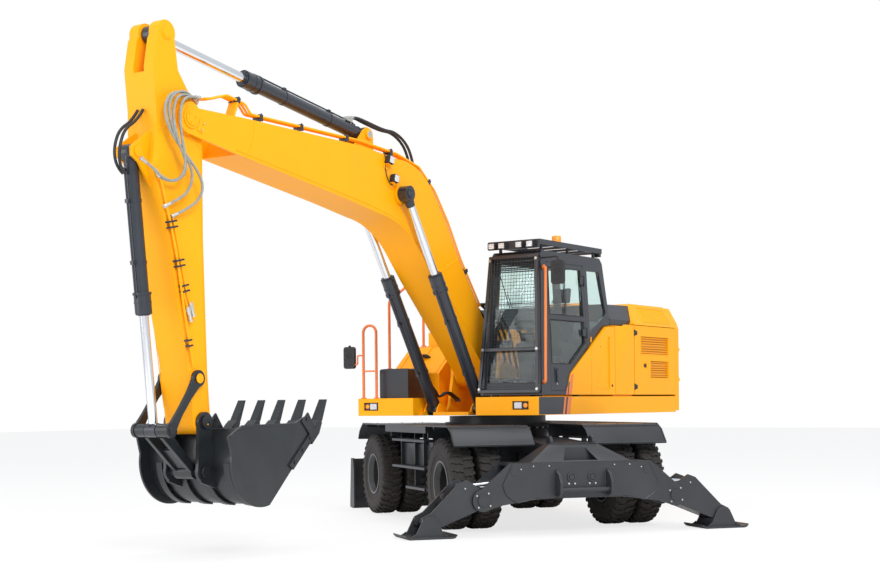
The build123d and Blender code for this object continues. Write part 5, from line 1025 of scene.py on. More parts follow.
DOOR_EDGE = ((861, 1549), (821, 3031), (-51, 3041), (-71, 2087), (353, 1814), (453, 1702), (542, 1549))
seal = cornered([door_spot(x, z, -5) for x, z in DOOR_EDGE], 0.06)
finish_mesh(line_mesh(UPPER, [seal], 5.5, 2, 4), "door_seal", "upper", HOSE_BLACK)
PANES = (((800, 2430), (782, 2975), (10, 2985), (-8, 2430)),
         ((808, 1860), (800, 2370), (-10, 2370), (-12, 2115), (370, 1860)))
frames = [cornered([door_spot(x, z, 0) for x, z in outline], 0.05) for outline in PANES]
frames += [[door_spot(x, 2435, -8), door_spot(x - 3, 2980, -8)] for x in (395, 430)]
finish_mesh(line_mesh(UPPER, frames, 6, 2, 4), "door_window_frames", "cab_door", TRIM)

bm = bmesh.new()  # the sunk handle: a surround and the bar across it
sunk = [door_spot(x, z, 2) for x, z in ((690, 1640), (760, 1640), (760, 1810), (690, 1810))]
for a, b in zip(sunk, sunk[1:] + sunk[:1]):
    add_bar(bm, UPPER, a, b, 6, 10)
add_bar(bm, UPPER, door_spot(725, 1660, 10), door_spot(725, 1790, 10), 10, 12)
add_bar(bm, UPPER, door_spot(725, 1662, 0), door_spot(725, 1662, 12), 12, 16)
for z in (2240, 2860):  # hinges on the rear edge
    add_plate(bm, UPPER, ((-62, z - 55), (40, z - 38), (40, z + 38), (-62, z + 55)),
              door_spot(0, z, -2).y, door_spot(0, z, 12).y)
    add_bar(bm, UPPER, door_spot(-56, z - 60, 12), door_spot(-56, z + 60, 12), 13, 16)
finish_piece(bm, "door_fittings", "cab_door", CAB_BLACK, 0.0015)
bm = bmesh.new()
add_bar(bm, UPPER, door_spot(725, 1625, 2), door_spot(725, 1625, 8), 12, 20)
add_ring(bm, UPPER, door_spot(725, 1625, 7), (0, 1, 0), 9, 3, 2, 20)
finish_piece(bm, "door_lock", "cab_door", ZINC, 0.0006)

MIRRORS = ((960, 1420, 2890), (1100, -1450, 1985))
bm = bmesh.new()
for x, y, z in MIRRORS:  # the glass faces the seat
    add_plate(bm, UPPER, [(y + a, z + b) for a, b in (
        (-70, -115), (-58, -123), (58, -123), (70, -115), (70, 115), (58, 123), (-58, 123), (-70, 115))],
              x - 22, x - 19, "X")
finish_piece(bm, "mirror_glass", "upper", CHROME)
bm = bmesh.new()
for x, y, z in MIRRORS:  # ribs and a ball joint on the back
    add_ring(bm, UPPER, (x + 19, y, z + 20), (1, 0, 0), 34, 26, 5, 32)
    add_bar(bm, UPPER, (x + 18, y, z + 20), (x + 24, y, z + 20), 20, 24, 14)
    for dz in (-84, 84):
        add_box(bm, UPPER, (x + 18, y - 44, z + dz - 4), (x + 23, y + 44, z + dz + 4))
    add_bar(bm, UPPER, (x, y, z + 128), (x, y, z + 152), 15, 16)
finish_piece(bm, "mirror_backs", "upper", TRIM, 0.001)
bm = bmesh.new()
for x, y, z in ((1020, 1248, 1640), (905, 1202, 2960)):  # flanges where the grab rail meets the cab
    add_pin(bm, UPPER, x, z, y, y + 9, 32, 24)
for x, y, z in ((1100, -1045, 1480), (1100, -1240, 1480), (830, -1040, 1838), (90, -1040, 2140)):
    add_bar(bm, UPPER, (x, y, z), (x, y, z + 12), 34, 24)  # and the feet of the right rails
finish_piece(bm, "rail_flanges", "upper", ORANGE, 0.001)
print("cab fittings:", made["door_fittings"] + made["mirror_backs"], "faces")

# %% [markdown]
# ## Panels of the upper structure
# Behind each louvre lies a perforated sheet. One tile with a round hole is copied in rows, and since the tiles
# touch, welding makes them one sheet.


# %% Perforated sheets in the louvres
PITCH = 24.0


def holed_tile(hole=7.0):
    """A square of sheet with a round hole, its four sides ready to meet its neighbours."""
    def build(bm):
        turns = [2 * math.pi * (i + 0.5) / 16 for i in range(16)]
        reach = [PITCH / 2 / max(abs(math.cos(turn)), abs(math.sin(turn))) for turn in turns]
        near, near_edge, far, far_edge = [
            [bm.verts.new((away * math.cos(turn), away * math.sin(turn), z)) for away, turn in zip(loop, turns)]
            for z in (0.0, 3.0) for loop in ([hole] * 16, reach)]
        for a, b in ((near, near_edge), (far, far_edge), (near, far)):
            add_band(bm, a, b)
    return small_mesh("tile", build)


SIDES = (("left", 1), ("right", -1))
LOUVRES = ((-2230, -1440, 2020, 2240), (-2230, -1710, 1720, 1930))  # rear, front, bottom, top
FACE_LEFT = Matrix(((1, 0, 0, 0), (0, 0, 1, 0), (0, 1, 0, 0), (0, 0, 0, 1)))  # a flat sheet turned to face along Y
SHEET_YELLOW = coat("sheet_yellow_paint", (0.80, 0.38, 0.02), 0.55, shift=0.06, lift=0.05)
for name, side in SIDES:
    sheets = []
    frames, latch = bmesh.new(), bmesh.new()
    for rear, front, bottom, top in LOUVRES:
        columns, rows = int((front - rear) / PITCH), int((top - bottom) / PITCH)
        middle = Matrix.Translation(((rear + front) / 2, side * 1238, (bottom + top) / 2))
        bm = bmesh.new()
        bm.from_mesh(set_out(GRID_TREE, holed_tile(), SHEET_YELLOW, UPPER @ middle @ FACE_LEFT, Columns=columns,
                             Rows=rows, Width=PITCH * (columns - 1), Height=PITCH * (rows - 1)))
        bmesh.ops.remove_doubles(bm, verts=bm.verts, dist=0.0002)
        sheets.append(closed(bm, "sheet"))
        for a, b, c, d in ((rear - 14, front + 14, bottom - 14, bottom), (rear - 14, front + 14, top, top + 14),
                           (rear - 14, rear, bottom, top), (front, front + 14, bottom, top)):
            add_box(frames, UPPER, (a, side * 1261, c), (b, side * 1268, d))
    finish_mesh(join_meshes(sheets), "grille_" + name, "engine_door_" + name, SHEET_YELLOW)
    add_box(frames, UPPER, (-1598, side * 1252, 1842), (-1512, side * 1258, 1898))
    finish_piece(frames, "grille_frames_" + name, "engine_door_" + name, YELLOW, 0.0015)
    add_box(latch, UPPER, (-1590, side * 1257, 1850), (-1530, side * 1264, 1892))  # the paddle and its lock
    add_pin(latch, UPPER, -1521, 1871, side * 1256, side * 1264, 7, 16)
    for z in (1600, 2280):  # two strap hinges at the seam
        add_plate(latch, UPPER, ((-1262, z - 34), (-1330, z - 22), (-1330, z + 22), (-1262, z + 34)),
                  side * 1264, side * 1270)
        add_bar(latch, UPPER, (-1254, side * 1266, z - 40), (-1254, side * 1266, z + 40), 9, 14)
    finish_piece(latch, "latch_" + name, "engine_door_" + name, TRIM, 0.0012)
print("grilles:", made["grille_left"], "faces each side")

# %% [markdown]
# The left side also has a compartment door with a raised rim round its sunk field, a lock at its lower corner
# and a hinge at its front. On the sill below, a blank dark plate and two slanted orange stripes lead the eye
# from the cab down to the frame.

# %% Stripes, plates and small fittings on the sides
bm = bmesh.new()
for side in (1, -1):
    for x, wide in ((428, 82), (560, 38)):  # on the sill, slanting back as they climb
        add_plate(bm, UPPER, ((x, 1272), (x + wide, 1272), (x + wide - 44, 1478), (x - 44, 1478)),
                  side * 1264.4, side * 1266.2)
for x, wide, rise in ((386, 76, 1752), (488, 34, 1600)):  # and on up to the cab's lower edge
    add_plate(bm, UPPER, ((x, 1502), (x + wide, 1502), (x + wide - (rise - 1520) * 0.25, rise - 20),
                          (x - (rise - 1500) * 0.2, rise)), 1264.4, 1266.2)
finish_piece(bm, "side_stripes", "upper", ORANGE)
bm = bmesh.new()
for side in (1, -1):
    for outline in (((600, 1276), (1150, 1276), (1150, 1476), (556, 1476)),
                    ((516, 1274), (556, 1274), (512, 1476), (472, 1476))):
        add_plate(bm, UPPER, outline, side * 1264.2, side * 1265.8)
add_plate(bm, UPPER, ((464, 1502), (486, 1502), (458, 1640), (430, 1660)), 1264.2, 1265.8)
finish_piece(bm, "side_plates", "upper", CAB_BLACK, 0.0004)

bm = bmesh.new()
recess = [(x, 1264, z) for x, z in ((-230, 1590), (-270, 1570), (-580, 1570), (-580, 2210), (-540, 2210))]
for a, b in zip(recess, recess[1:] + recess[:1]):
    add_bar(bm, UPPER, a, b, 5, 8)
    bmesh.ops.create_uvsphere(bm, u_segments=10, v_segments=6, radius=0.005,
                              matrix=Matrix.Translation(UPPER @ Vector(a)))
finish_piece(bm, "battery_door_rim", "battery_door", YELLOW)
bm = bmesh.new()
add_ring(bm, UPPER, (-640, 1262, 1610), (0, 1, 0), 17, 9, 7, 24)
add_bar(bm, UPPER, (-640, 1262, 1610), (-640, 1267, 1610), 9, 16)
add_box(bm, UPPER, (-430, 1252, 2052), (-330, 1262, 2110))
add_bar(bm, UPPER, (-345, 1258, 2081), (-345, 1266, 2081), 8, 16)
finish_piece(bm, "battery_door_latch", "battery_door", TRIM, 0.001)
bm = bmesh.new()
for z in (1640, 1960, 2160):  # pin hinges along the front seam of the door
    add_bar(bm, UPPER, (-104, 1262, z - 32), (-104, 1262, z + 32), 8, 12)
finish_piece(bm, "battery_hinges", "upper", YELLOW, 0.001)
print("stripes and plates:", made["side_stripes"] + made["side_plates"], "faces")

# %% [markdown]
# The hood's sloping sides carry a plain inset field with a fine grid of raised points. On top are the slots of
# the engine's breather, drawn as black bars of painted shade, the silencer's tail pipe and non slip strips. The
# tank has a filler cap and straps over its sheet joints, and the counterweight has plugs over its bolts and two
# lifting eyes.

# %% The hood's fields and the things on top
slope = Vector((0, -175, 282)).normalized()
FIELD = ((-500, -110, 0), (330, -110, 0), (250, 110, 0), (-500, 110, 0))
for name, side in SIDES:
    up = Vector((0, slope.y * side, slope.z))
    out = Vector((0, 282 * side, 175)).normalized()
    plane = UPPER @ Matrix.Translation(Vector((-1860, side * 1177.5, 2524)) + out) @ Matrix((
        (1, 0, 0, 0), (0, up.y, out.y, 0), (0, up.z, out.z, 0), (0, 0, 0, 1)))
    bm = bmesh.new()
    for a, b in zip(FIELD, FIELD[1:] + FIELD[:1]):
        add_bar(bm, plane, a, b, 5, 8)
    studs = set_out(GRID_TREE, short_bar(-1, 4, 6, 6, 3), YELLOW, plane @ Matrix.Translation((-122, 0, 0)),
                    Columns=32, Rows=9, Width=700.0, Height=180.0)
    finish_piece(bm, "hood_rim_" + name, "engine_hood", YELLOW)
    finish_mesh(studs, "hood_studs_" + name, "engine_hood", YELLOW)
bm = bmesh.new()
# The breather's slots are black bars on the hood: painted shade for the dark of the openings.
for step in range(12):  # slots of the breather on the hood
    add_box(bm, UPPER, (-1930 + 22 * step, -235, 2718), (-1922 + 22 * step, 235, 2724))
add_ring(bm, UPPER, (-2180, -420, 2664), (0, 0, 1), 74, 60, 14, 40)
finish_piece(bm, "hood_slots", "engine_hood", CAB_BLACK, 0.001)
finish_mesh(line_mesh(UPPER, [bent([(-2180, -420, 2600), (-2180, -420, 2780), (-2330, -420, 2860)], 50)], 52, 6, 8),
            "tail_pipe", "engine_hood", ZINC)
bm = bmesh.new()
for start in (-580, -1180):  # non slip strips across the roof behind the cab
    for x in range(start, start + 200, 40):
        add_box(bm, UPPER, (x, -420, 2664), (x + 14, 420, 2668))
finish_piece(bm, "non_slip", "upper", CAB_BLACK, 0.0006)
bm = bmesh.new()
add_bar(bm, UPPER, (-420, -760, 2358), (-420, -760, 2388), 66, 12)
add_bar(bm, UPPER, (-420, -760, 2386), (-420, -760, 2398), 40, 24, 34)
add_ring(bm, UPPER, (300, -860, 1975), (-0.63, 0, 0.77), 70, 46, 20, 32)
add_bar(bm, UPPER, (300, -860, 1975), (282, -860, 1998), 50, 12, 44)
finish_piece(bm, "filler_caps", "upper", TRIM, 0.002)
bm = bmesh.new()
for y in (-1150, -880, -560):  # the tank's sheet joints and straps
    add_plate(bm, UPPER, ((541, 1482), (546, 1482), (546, 1792), (146, 2127), (-232, 2157), (-232, 2151),
                          (141, 2121), (541, 1788)), y - 12, y + 12)
finish_piece(bm, "tank_straps", "upper", YELLOW, 0.001)
bm = bmesh.new()
for x in (640, 780, 920):  # tread bars on the tool box step
    for step in range(6):
        add_box(bm, UPPER, (x - 44, -1040 + 62 * step, 1836), (x + 44, -1018 + 62 * step, 1842))
for x in (600, 960):
    add_bar(bm, UPPER, (x, -1072, 1770), (x, -1078, 1770), 12, 16)
add_box(bm, UPPER, (720, -1078, 1740), (840, -1069, 1790))
add_box(bm, UPPER, (566, -1074, 1500), (994, -1069, 1812))
finish_piece(bm, "tool_box_fittings", "upper", CAB_BLACK, 0.001)
print("fittings on top:", made["hood_slots"] + made["filler_caps"] + made["tool_box_fittings"], "faces")

# %% The counterweight's plugs, eyes and tail lamps
bm = bmesh.new()
for side in (1, -1):  # round bumps where the counterweight's bolts are plugged, and its lifting eyes
    for z in (1700, 2100):
        add_bar(bm, UPPER, (-2560, side * 1262, z), (-2560, side * 1269, z), 26, 24, 22)
for y in (-520, 520):
    add_ring(bm, UPPER, (-2600, y, 2652), (0, 0, 1), 48, 26, 18, 32)
finish_piece(bm, "counterweight_plugs", "upper", YELLOW, 0.002)
bm = bmesh.new()
add_box(bm, UPPER, (-2738, -300, 1740), (-2728, 300, 1780))
for y in (-900, 900):  # tail lamps: black frame round a ribbed lens
    add_surround(bm, UPPER @ Matrix.Translation((-2655, y, 1590)), -8, 20, 90, 50, 14, 16, 0)
finish_piece(bm, "tail_frames", "upper", TRIM, 0.0015)
bm = bmesh.new()
for y in (-900, 900):
    for step in range(9):
        add_bar(bm, UPPER, (-2658, y - 68 + 17 * step, 1556), (-2658, y - 68 + 17 * step, 1624), 8.6, 10)
finish_piece(bm, "tail_lenses", "upper", RED)
print("panels dressed:", len(made), "pieces so far")

# %% [markdown]
# ## Cylinders
# Every cylinder has the same small parts: a bolted head with a ring of screws and a wiper ring, weld beads at
# its base, and a steel pipe that feeds the rod end, held to the barrel by two bands. One function dresses all of
# them in the cylinder's own drawing, whose X runs from the base pin to the rod pin.

# %% Heads, bands and pipes
BOOM_EYE = BOOM @ Vector((2600, 0, 985))
ARM_EYE = ARM @ Vector((-760, 0, 200))
BOOM_CYLINDER = link_frame(pins["boom_barrel_swing"], BOOM_EYE)
ARM_CYLINDER = link_frame(pins["arm_barrel_swing"], ARM_EYE)
BUCKET_CYLINDER = link_frame(pins["bucket_barrel_swing"], pins["link_swing"])


def dress_barrel(body, name, place, offsets, length, outer, gland, rod, head, pipe_side=1):
    """Head flange with screws, wiper, bands and pipe for the barrels of one body."""
    bm = bmesh.new()
    screws, lines = [], []
    rod_port = length - head + 20
    for y in offsets:
        for x, way, wide, hole, deep, sides in (
                (length - head, -1, gland + 8, outer - 2, 26, 40), (length - 2, 1, gland - 12, rod + 1, 12, 40),
                (length + 9, 1, rod + 12, rod + 1, 8, 32), (length - head + 60, 1, gland + 4, gland - 3, 14, 40),
                (outer * 1.2, 1, outer + 5, outer - 3, 12, 36)):
            add_ring(bm, place, (x, y, 0), (way, 0, 0), wide, hole, deep, sides)
        screws.append(set_out(RING_TREE, short_bar(0, 11, 8, 6), BARREL_BLACK,
                              place @ Matrix.Translation((length - 1, y, 0)) @ ALONG_X, Count=10,
                              Radius=float(gland - 13), Start=0.2))
        high = pipe_side * (outer + 22)
        lines.append(bent([(150, y, pipe_side * outer), (150, y, high), (rod_port, y, high),
                           (rod_port, y, pipe_side * (gland - 4))], 16))
        for x in (0.30 * length, 0.68 * length):
            add_ring(bm, place, (x - 15, y, 0), (1, 0, 0), outer + 5, outer - 1, 30, 40)
            add_box(bm, place, (x - 18, y - 20, pipe_side * (outer - 2)), (x + 18, y + 20, pipe_side * (outer + 34)))
            add_pin(bm, place, x, pipe_side * (outer + 16), y + 20, y + 30, 7, 6)
        for x in (150, rod_port):  # port blocks
            add_box(bm, place, (x - 20, y - 22, pipe_side * (outer - 8)), (x + 20, y + 22, pipe_side * (outer + 12)))
    finish_piece(bm, name + "_fittings", body, BARREL_BLACK, 0.0012)
    finish_mesh(join_meshes([line_mesh(place, lines, 9)] + screws), name + "_pipe", body, BARREL_BLACK)


dress_barrel("boom_barrels", "boom_barrel", BOOM_CYLINDER, (330, -330), 1790, 72, 82, 46, 190, -1)
dress_barrel("arm_barrel", "arm_barrel", ARM_CYLINDER, (0,), 1930, 72, 88, 48, 190)
dress_barrel("bucket_barrel", "bucket_barrel", BUCKET_CYLINDER, (0,), 1450, 64, 78, 42, 170)
print("fittings on the boom's barrels:", made["boom_barrel_fittings"], "faces")

# %% [markdown]
# The rods are chrome, but their eyes are painted. A black sleeve covers each eye and tapers to the rod, with
# the pin's end plate and its bolt on top, and a grease nipple beside it.

# %% Painted rod eyes
def add_eye(bm, place, x, y, radius, width, rod, neck):
    """A shell over a rod's eye, with its neck and its grease nipple."""
    add_pin(bm, place, x, 0, y - width / 2 - 1, y + width / 2 + 1, radius + 1.5, 40)
    add_bar(bm, place, (x - radius - neck, y, 0), (x - radius * 0.5, y, 0), rod + 3, 32, radius * 0.75)
    add_bar(bm, place, (x - radius * 0.7, y, radius * 0.7), (x - radius * 0.85, y, radius * 0.9), 6, 8)


boom_span, arm_span, bucket_span = [1000 * (eye - pins[base]).length for eye, base in (
    (BOOM_EYE, "boom_barrel_swing"), (ARM_EYE, "arm_barrel_swing"), (pins["link_swing"], "bucket_barrel_swing"))]
bm = bmesh.new()
for side in (1, -1):
    y = side * 330
    add_eye(bm, BOOM_CYLINDER, boom_span, y, 84, 116, 46, 70)
    add_pin(bm, BOOM_CYLINDER, boom_span, 0, y + side * 58, y + side * 68, 58, 40)
    for x, z in ((30, 12), (-24, -22)):
        add_pin(bm, BOOM_CYLINDER, boom_span + x, z, y + side * 66, y + side * 76, 10, 6)
finish_piece(bm, "boom_rod_eyes", "boom_rods", BARREL_BLACK, 0.003)
for body, place, span, sizes in (("arm_rod", ARM_CYLINDER, arm_span, (80, 112, 48, 40)),
                                 ("bucket_rod", BUCKET_CYLINDER, bucket_span, (64, 132, 42, 0))):
    bm = bmesh.new()
    add_eye(bm, place, span, 0, *sizes)
    finish_piece(bm, body + "_eye", body, BARREL_BLACK, 0.003)
print("eyes at", round(boom_span), round(arm_span), round(bucket_span))

# %% [markdown]
# Where a pin comes out of boom or arm, a round cover and a bolted keeper plate hold it.

# %% Pin ends
TIP = 5750
bm, bolts, ends = bmesh.new(), bmesh.new(), bmesh.new()
for side in (1, -1):
    # boom tip: round cover with three bolts, and the keeper plate beside it
    add_pin(bm, BOOM, TIP, 0, side * 246, side * 256, 72, 40)
    for turn in (0.4, 2.5, 4.6):
        add_pin(bm, BOOM, TIP + 48 * math.cos(turn), 48 * math.sin(turn), side * 254, side * 264, 9, 6)
    add_box(bm, BOOM, (5560, side * 234, -60), (5640, side * 243, 60))
    for z in (-35, 35):
        add_pin(bm, BOOM, 5590, z, side * 242, side * 254, 11, 6)
        add_pin(bolts, BOOM, 5590, z, side * 243, side * 258, 9, 6)
    add_pin(bm, BOOM, 3200, 1400, side * 104, side * 128, 56, 32)
    add_pin(bolts, BOOM, 3200, 1400, side * 126, side * 132, 40, 24)
    add_plate(bm, BOOM, ((2520, 1010), (2560, 960), (2640, 960), (2700, 1080), (2640, 1120)), side * 234, side * 240)
    for x, z, out, radius in ((2390, 60, 234, 46), (2800, 0, 238, 52)):
        add_pin(ends, ARM, x, z, side * out, side * (out + 8), radius, 32)
        add_pin(ends, ARM, x + 20, z, side * (out + 7), side * (out + 15), 8, 6)
    for x, z, low, high, radius, sides in ((-760, 200, 186, 194, 52, 32), (330, 560, 98, 116, 52, 32),
                                           (0, 0, 180, 188, 120, 48)):
        add_pin(ends, ARM, x, z, side * low, side * high, radius, sides)
add_box(bm, BOOM, (5236, 128, 330), (5264, 236, 494))  # the bracket under the pipes at the tip
finish_piece(bm, "boom_pin_ends", "boom", YELLOW, 0.003)
finish_piece(bolts, "boom_pin_bolts", "boom", ZINC, 0.001)
finish_piece(ends, "arm_pin_ends", "arm", YELLOW, 0.003)
print("pin ends:", made["boom_pin_ends"] + made["arm_pin_ends"], "faces")

# %% [markdown]
# ## Hoses between the links
# The barrels swing, so their hoses have slack. Each crosses one hinge: from the boom's pipes to the arm
# cylinder, from the arm to the bucket cylinder, from the deck to the boom cylinders, and from the valves on the
# deck to the pipes at the boom's foot.


# %% Hoses to the barrels and the boom
def spots(place, *points):
    """Points of a drawing, in the scene."""
    return [place @ Vector(point) for point in points]


def crossing_hose(name, lines, radius):
    """Hoses that cross the hinge between two bodies and stay fixed in the scene."""
    piece = finish_mesh(line_mesh(Matrix(), lines, radius, 4, 10), name, None, HOSE_BLACK)
    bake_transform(piece)


def add_port(bm, line, back, ahead, radius):
    """A sleeve on the start of a hose."""
    run = (line[1] - line[0]).normalized()
    add_bar(bm, Matrix(), line[0] - run * back, line[0] + run * ahead, radius, 12)


arm_hoses = [spots(BOOM, (2280, y, 1470), (2330, y, 1560), (2520, y + 6, 1690), (2780, y + 8, 1690),
                   (2960, y + 4, 1600))
             + spots(ARM_CYLINDER, (60, y + 2, 130), (160, y * 0.4, 150), (250, y * 0.4, 118)) for y in (40, 92)]
crossing_hose("arm_cylinder_hoses", arm_hoses, 16)
near, far = bmesh.new(), bmesh.new()
for line in arm_hoses:
    add_port(near, line, 0.03, 0.05, 0.021)
    add_port(far, line[::-1], 0.06, 0.05, 0.020)
add_box(near, BOOM, (2225, 10, 1405), (2330, 122, 1448))
add_box(far, ARM_CYLINDER, (230, -48, 66), (330, 60, 108))
finish_piece(near, "arm_hose_ports", "boom", ZINC, 0.001)
finish_piece(far, "arm_cylinder_ports", "arm_barrel", ZINC, 0.001)
bucket_hoses = [spots(ARM, (-60, y, 402), (40, y, 480), (130, y, 640))
                + spots(BUCKET_CYLINDER, (-60, y, 150), (60, y * 0.8, 168), (150, y * 0.5, 140), (190, y * 0.4, 96))
                for y in (34, -34)]
crossing_hose("bucket_cylinder_hoses", bucket_hoses, 14)
DECK_PORTS = (206, 246)
for name, side in SIDES:
    lines = [spots(UPPER, (560, side * y, 1460), (640, side * y, 1500), (760, side * (y + 14), 1560))
             + spots(BOOM_CYLINDER, (120, side * 270, 60), (230, side * 262, 40), (320, side * 268, 10),
                     (380, side * 285, -30)) for y in DECK_PORTS]
    crossing_hose("boom_cylinder_hoses_" + name, lines, 15)
print("hoses to the barrels:", len(arm_hoses) + len(bucket_hoses) + 2 * len(DECK_PORTS))

# %% The valves on the deck and the hoses at the boom's foot
VALVES = (-190, -120, -50, 50, 120, 190)
foot_hoses = [spots(UPPER, (-260, y, 1560), (-200, y, 1700), (-80, y * 1.05, 2020), (60, y * 1.08, 2330))
              + spots(BOOM, (330, y * 0.95, 760), (480, y * 0.9, 690), (600, y * 0.85, 610)) for y in VALVES]
crossing_hose("boom_foot_hoses", foot_hoses, 17)
bm = bmesh.new()
add_box(bm, UPPER, (-420, -240, 1312), (-120, 240, 1530))
for y in VALVES:
    add_bar(bm, UPPER, (-262, y, 1528), (-256, y, 1575), 24, 6)
    add_bar(bm, UPPER, (-360, y, 1528), (-360, y, 1560), 20, 16)
for y in DECK_PORTS:
    for side in (1, -1):
        add_bar(bm, UPPER, (540, side * y, 1440), (575, side * y, 1470), 20, 6)
finish_piece(bm, "valve_block", "upper", ENGINE_GREY, 0.003)
print("hoses at the foot:", len(foot_hoses))

# %% [markdown]
# ## Lamps on the boom and weld lines
# Two square work lamps stand on the boom's left side behind the knee, each on a bent bracket, with a thin
# cable that drops from the pipe clamp. The steel plates of boom and arm are joined by weld beads.

# %% Boom lamps
def cut_square(half, cut):
    """The outline of a square with its corners cut off."""
    near = half - cut
    return ((-half, -near), (-near, -half), (near, -half), (half, -near), (half, near), (near, half), (-near, half),
            (-half, near))


bm, lens, brackets = bmesh.new(), bmesh.new(), bmesh.new()
for x, z in ((2955, 1205), (2800, 1062)):
    at = BOOM @ Matrix.Translation((x, 292, z)) @ Matrix.Rotation(math.radians(12), 4, "Y")
    add_plate(bm, at, cut_square(44, 10), -30, 22)
    for fin in range(6):
        add_box(bm, at, (-40 + 15 * fin, -42, -38), (-36 + 15 * fin, -28, 38))
    add_plate(lens, at, cut_square(36, 6), 21, 26)
    add_box(brackets, BOOM, (x - 70, 236, z - 95), (x + 30, 244, z - 50))
    add_box(brackets, BOOM, (x - 30, 236, z - 60), (x + 20, 300, z - 50))
finish_piece(bm, "boom_lamps", "boom", TRIM, 0.002)
finish_piece(lens, "boom_lamp_lenses", "boom", LENS, 0.001)
finish_piece(brackets, "boom_lamp_brackets", "boom", YELLOW, 0.002)
CABLES = (((2965, 262, 1255), (2990, 262, 1270), (2985, 246, 1180), (2940, 244, 1100), (2860, 250, 1010),
           (2790, 256, 985), (2765, 262, 1030), (2790, 264, 1050)),
          ((3010, 214, 1290), (3020, 240, 1262), (2995, 244, 1220), (2965, 256, 1215)))
finish_mesh(line_mesh(BOOM, CABLES, 5, 2, 8), "boom_lamp_cables", "boom", HOSE_BLACK)
print("boom lamps:", made["boom_lamps"], "faces")

# %% Weld lines
WELDS = (  # body, drawing, distance from the middle, radius, steps, and x and z along each bead
    ("boom", BOOM, 236, 4.5, 8, (
        ((4985, 438), (4930, 330), (4930, 170), (4955, 66)), ((1650, 470), (1480, 640), (1290, 870)),
        ((700, 175), (1640, 500), (2010, 640), (2400, 728), (2800, 672), (3400, 520), (5100, 50)))),
    ("arm", ARM, 181, 4, 6, (
        ((470, 452), (1130, 284), (1850, 198), (2650, 120)), ((300, -172), (1120, -122), (2350, -86), (2680, -96)),
        ((140, 380), (60, 200), (150, -60), (280, -170)))))
for body, place, out, radius, steps, beads in WELDS:
    lines = [[(x, side * out, z) for x, z in bead] for side in (1, -1) for bead in beads]
    finish_mesh(line_mesh(place, lines, radius, 2, steps), body + "_welds", body, YELLOW)
    print("weld lines:", body, len(lines))

# %% [markdown]
# ## The undercarriage
# The outrigger beam is the part nearest the eye. A cover plate with weld beads lies on its rear face, with pin
# keepers, bosses and bolts. The legs get end caps on their pins, and the pads turned up toes.

# %% The beam's cover plate
REAR = -2600


def rear_disc(mesh, y, z, radius, thick, sides=32):
    """A round plate on a face that looks to the rear."""
    add_bar(mesh, CHASSIS, (REAR + 1, y, z), (REAR - thick, y, z), radius, sides)


def both_ways(half):
    """An outline and its mirror image about the middle of the machine, as one line."""
    return [*half, *((-y, z) for y, z in half[::-1] if y)]


bm, bolts = bmesh.new(), bmesh.new()
add_plate(bm, CHASSIS, both_ways(((790, 764), (905, 540), (860, 420), (740, 352), (520, 394))), REAR - 9, REAR + 1,
          "X")
for side in (1, -1):
    rear_disc(bm, side * 770, 676, 46, 15)
    pin = side * 120  # the base pins of the leg cylinders: boss, pin and keeper bolts
    add_ring(bm, CHASSIS, (REAR - 8, pin, 610), (-1, 0, 0), 56, 34, 12, 32)
    rear_disc(bm, pin, 610, 30, 22)
    for step in (-34, 34):
        rear_disc(bolts, pin + step, 540, 11, 20, 6)
    rear_disc(bm, side * 1120, 385, 66, 12, 40)
    for turn in (0.6, 2.2, 3.8, 5.4):
        rear_disc(bolts, side * 1120 + 92 * math.cos(turn), 385 + 92 * math.sin(turn), 10, 11, 6)
    for y, z in ((380, 735), (560, 735), (700, 705)):
        rear_disc(bolts, side * y, z, 8, 15, 6)
finish_piece(bm, "beam_cover", "chassis", CHASSIS_BLACK, 0.003)
finish_piece(bolts, "beam_bolts", "chassis", ZINC, 0.001)
beads = [[(REAR - 8, y, z) for y, z in both_ways((
    (790, 764), (900, 545), (905, 535), (862, 420), (742, 353), (735, 352), (520, 394), (0, 394)))]]
beads += [[(REAR - 6, side * 276, 700), (REAR - 6, side * 276, 412)] for side in (1, -1)]
beads += [[(REAR + 6, -585, 772), (REAR + 6, 585, 772)], [(-2375, -275, 962), (-2375, 275, 962)]]
finish_mesh(line_mesh(CHASSIS, beads, 6, 2, 6), "beam_welds", "chassis", CHASSIS_BLACK)
print("beads on the beam:", len(beads))

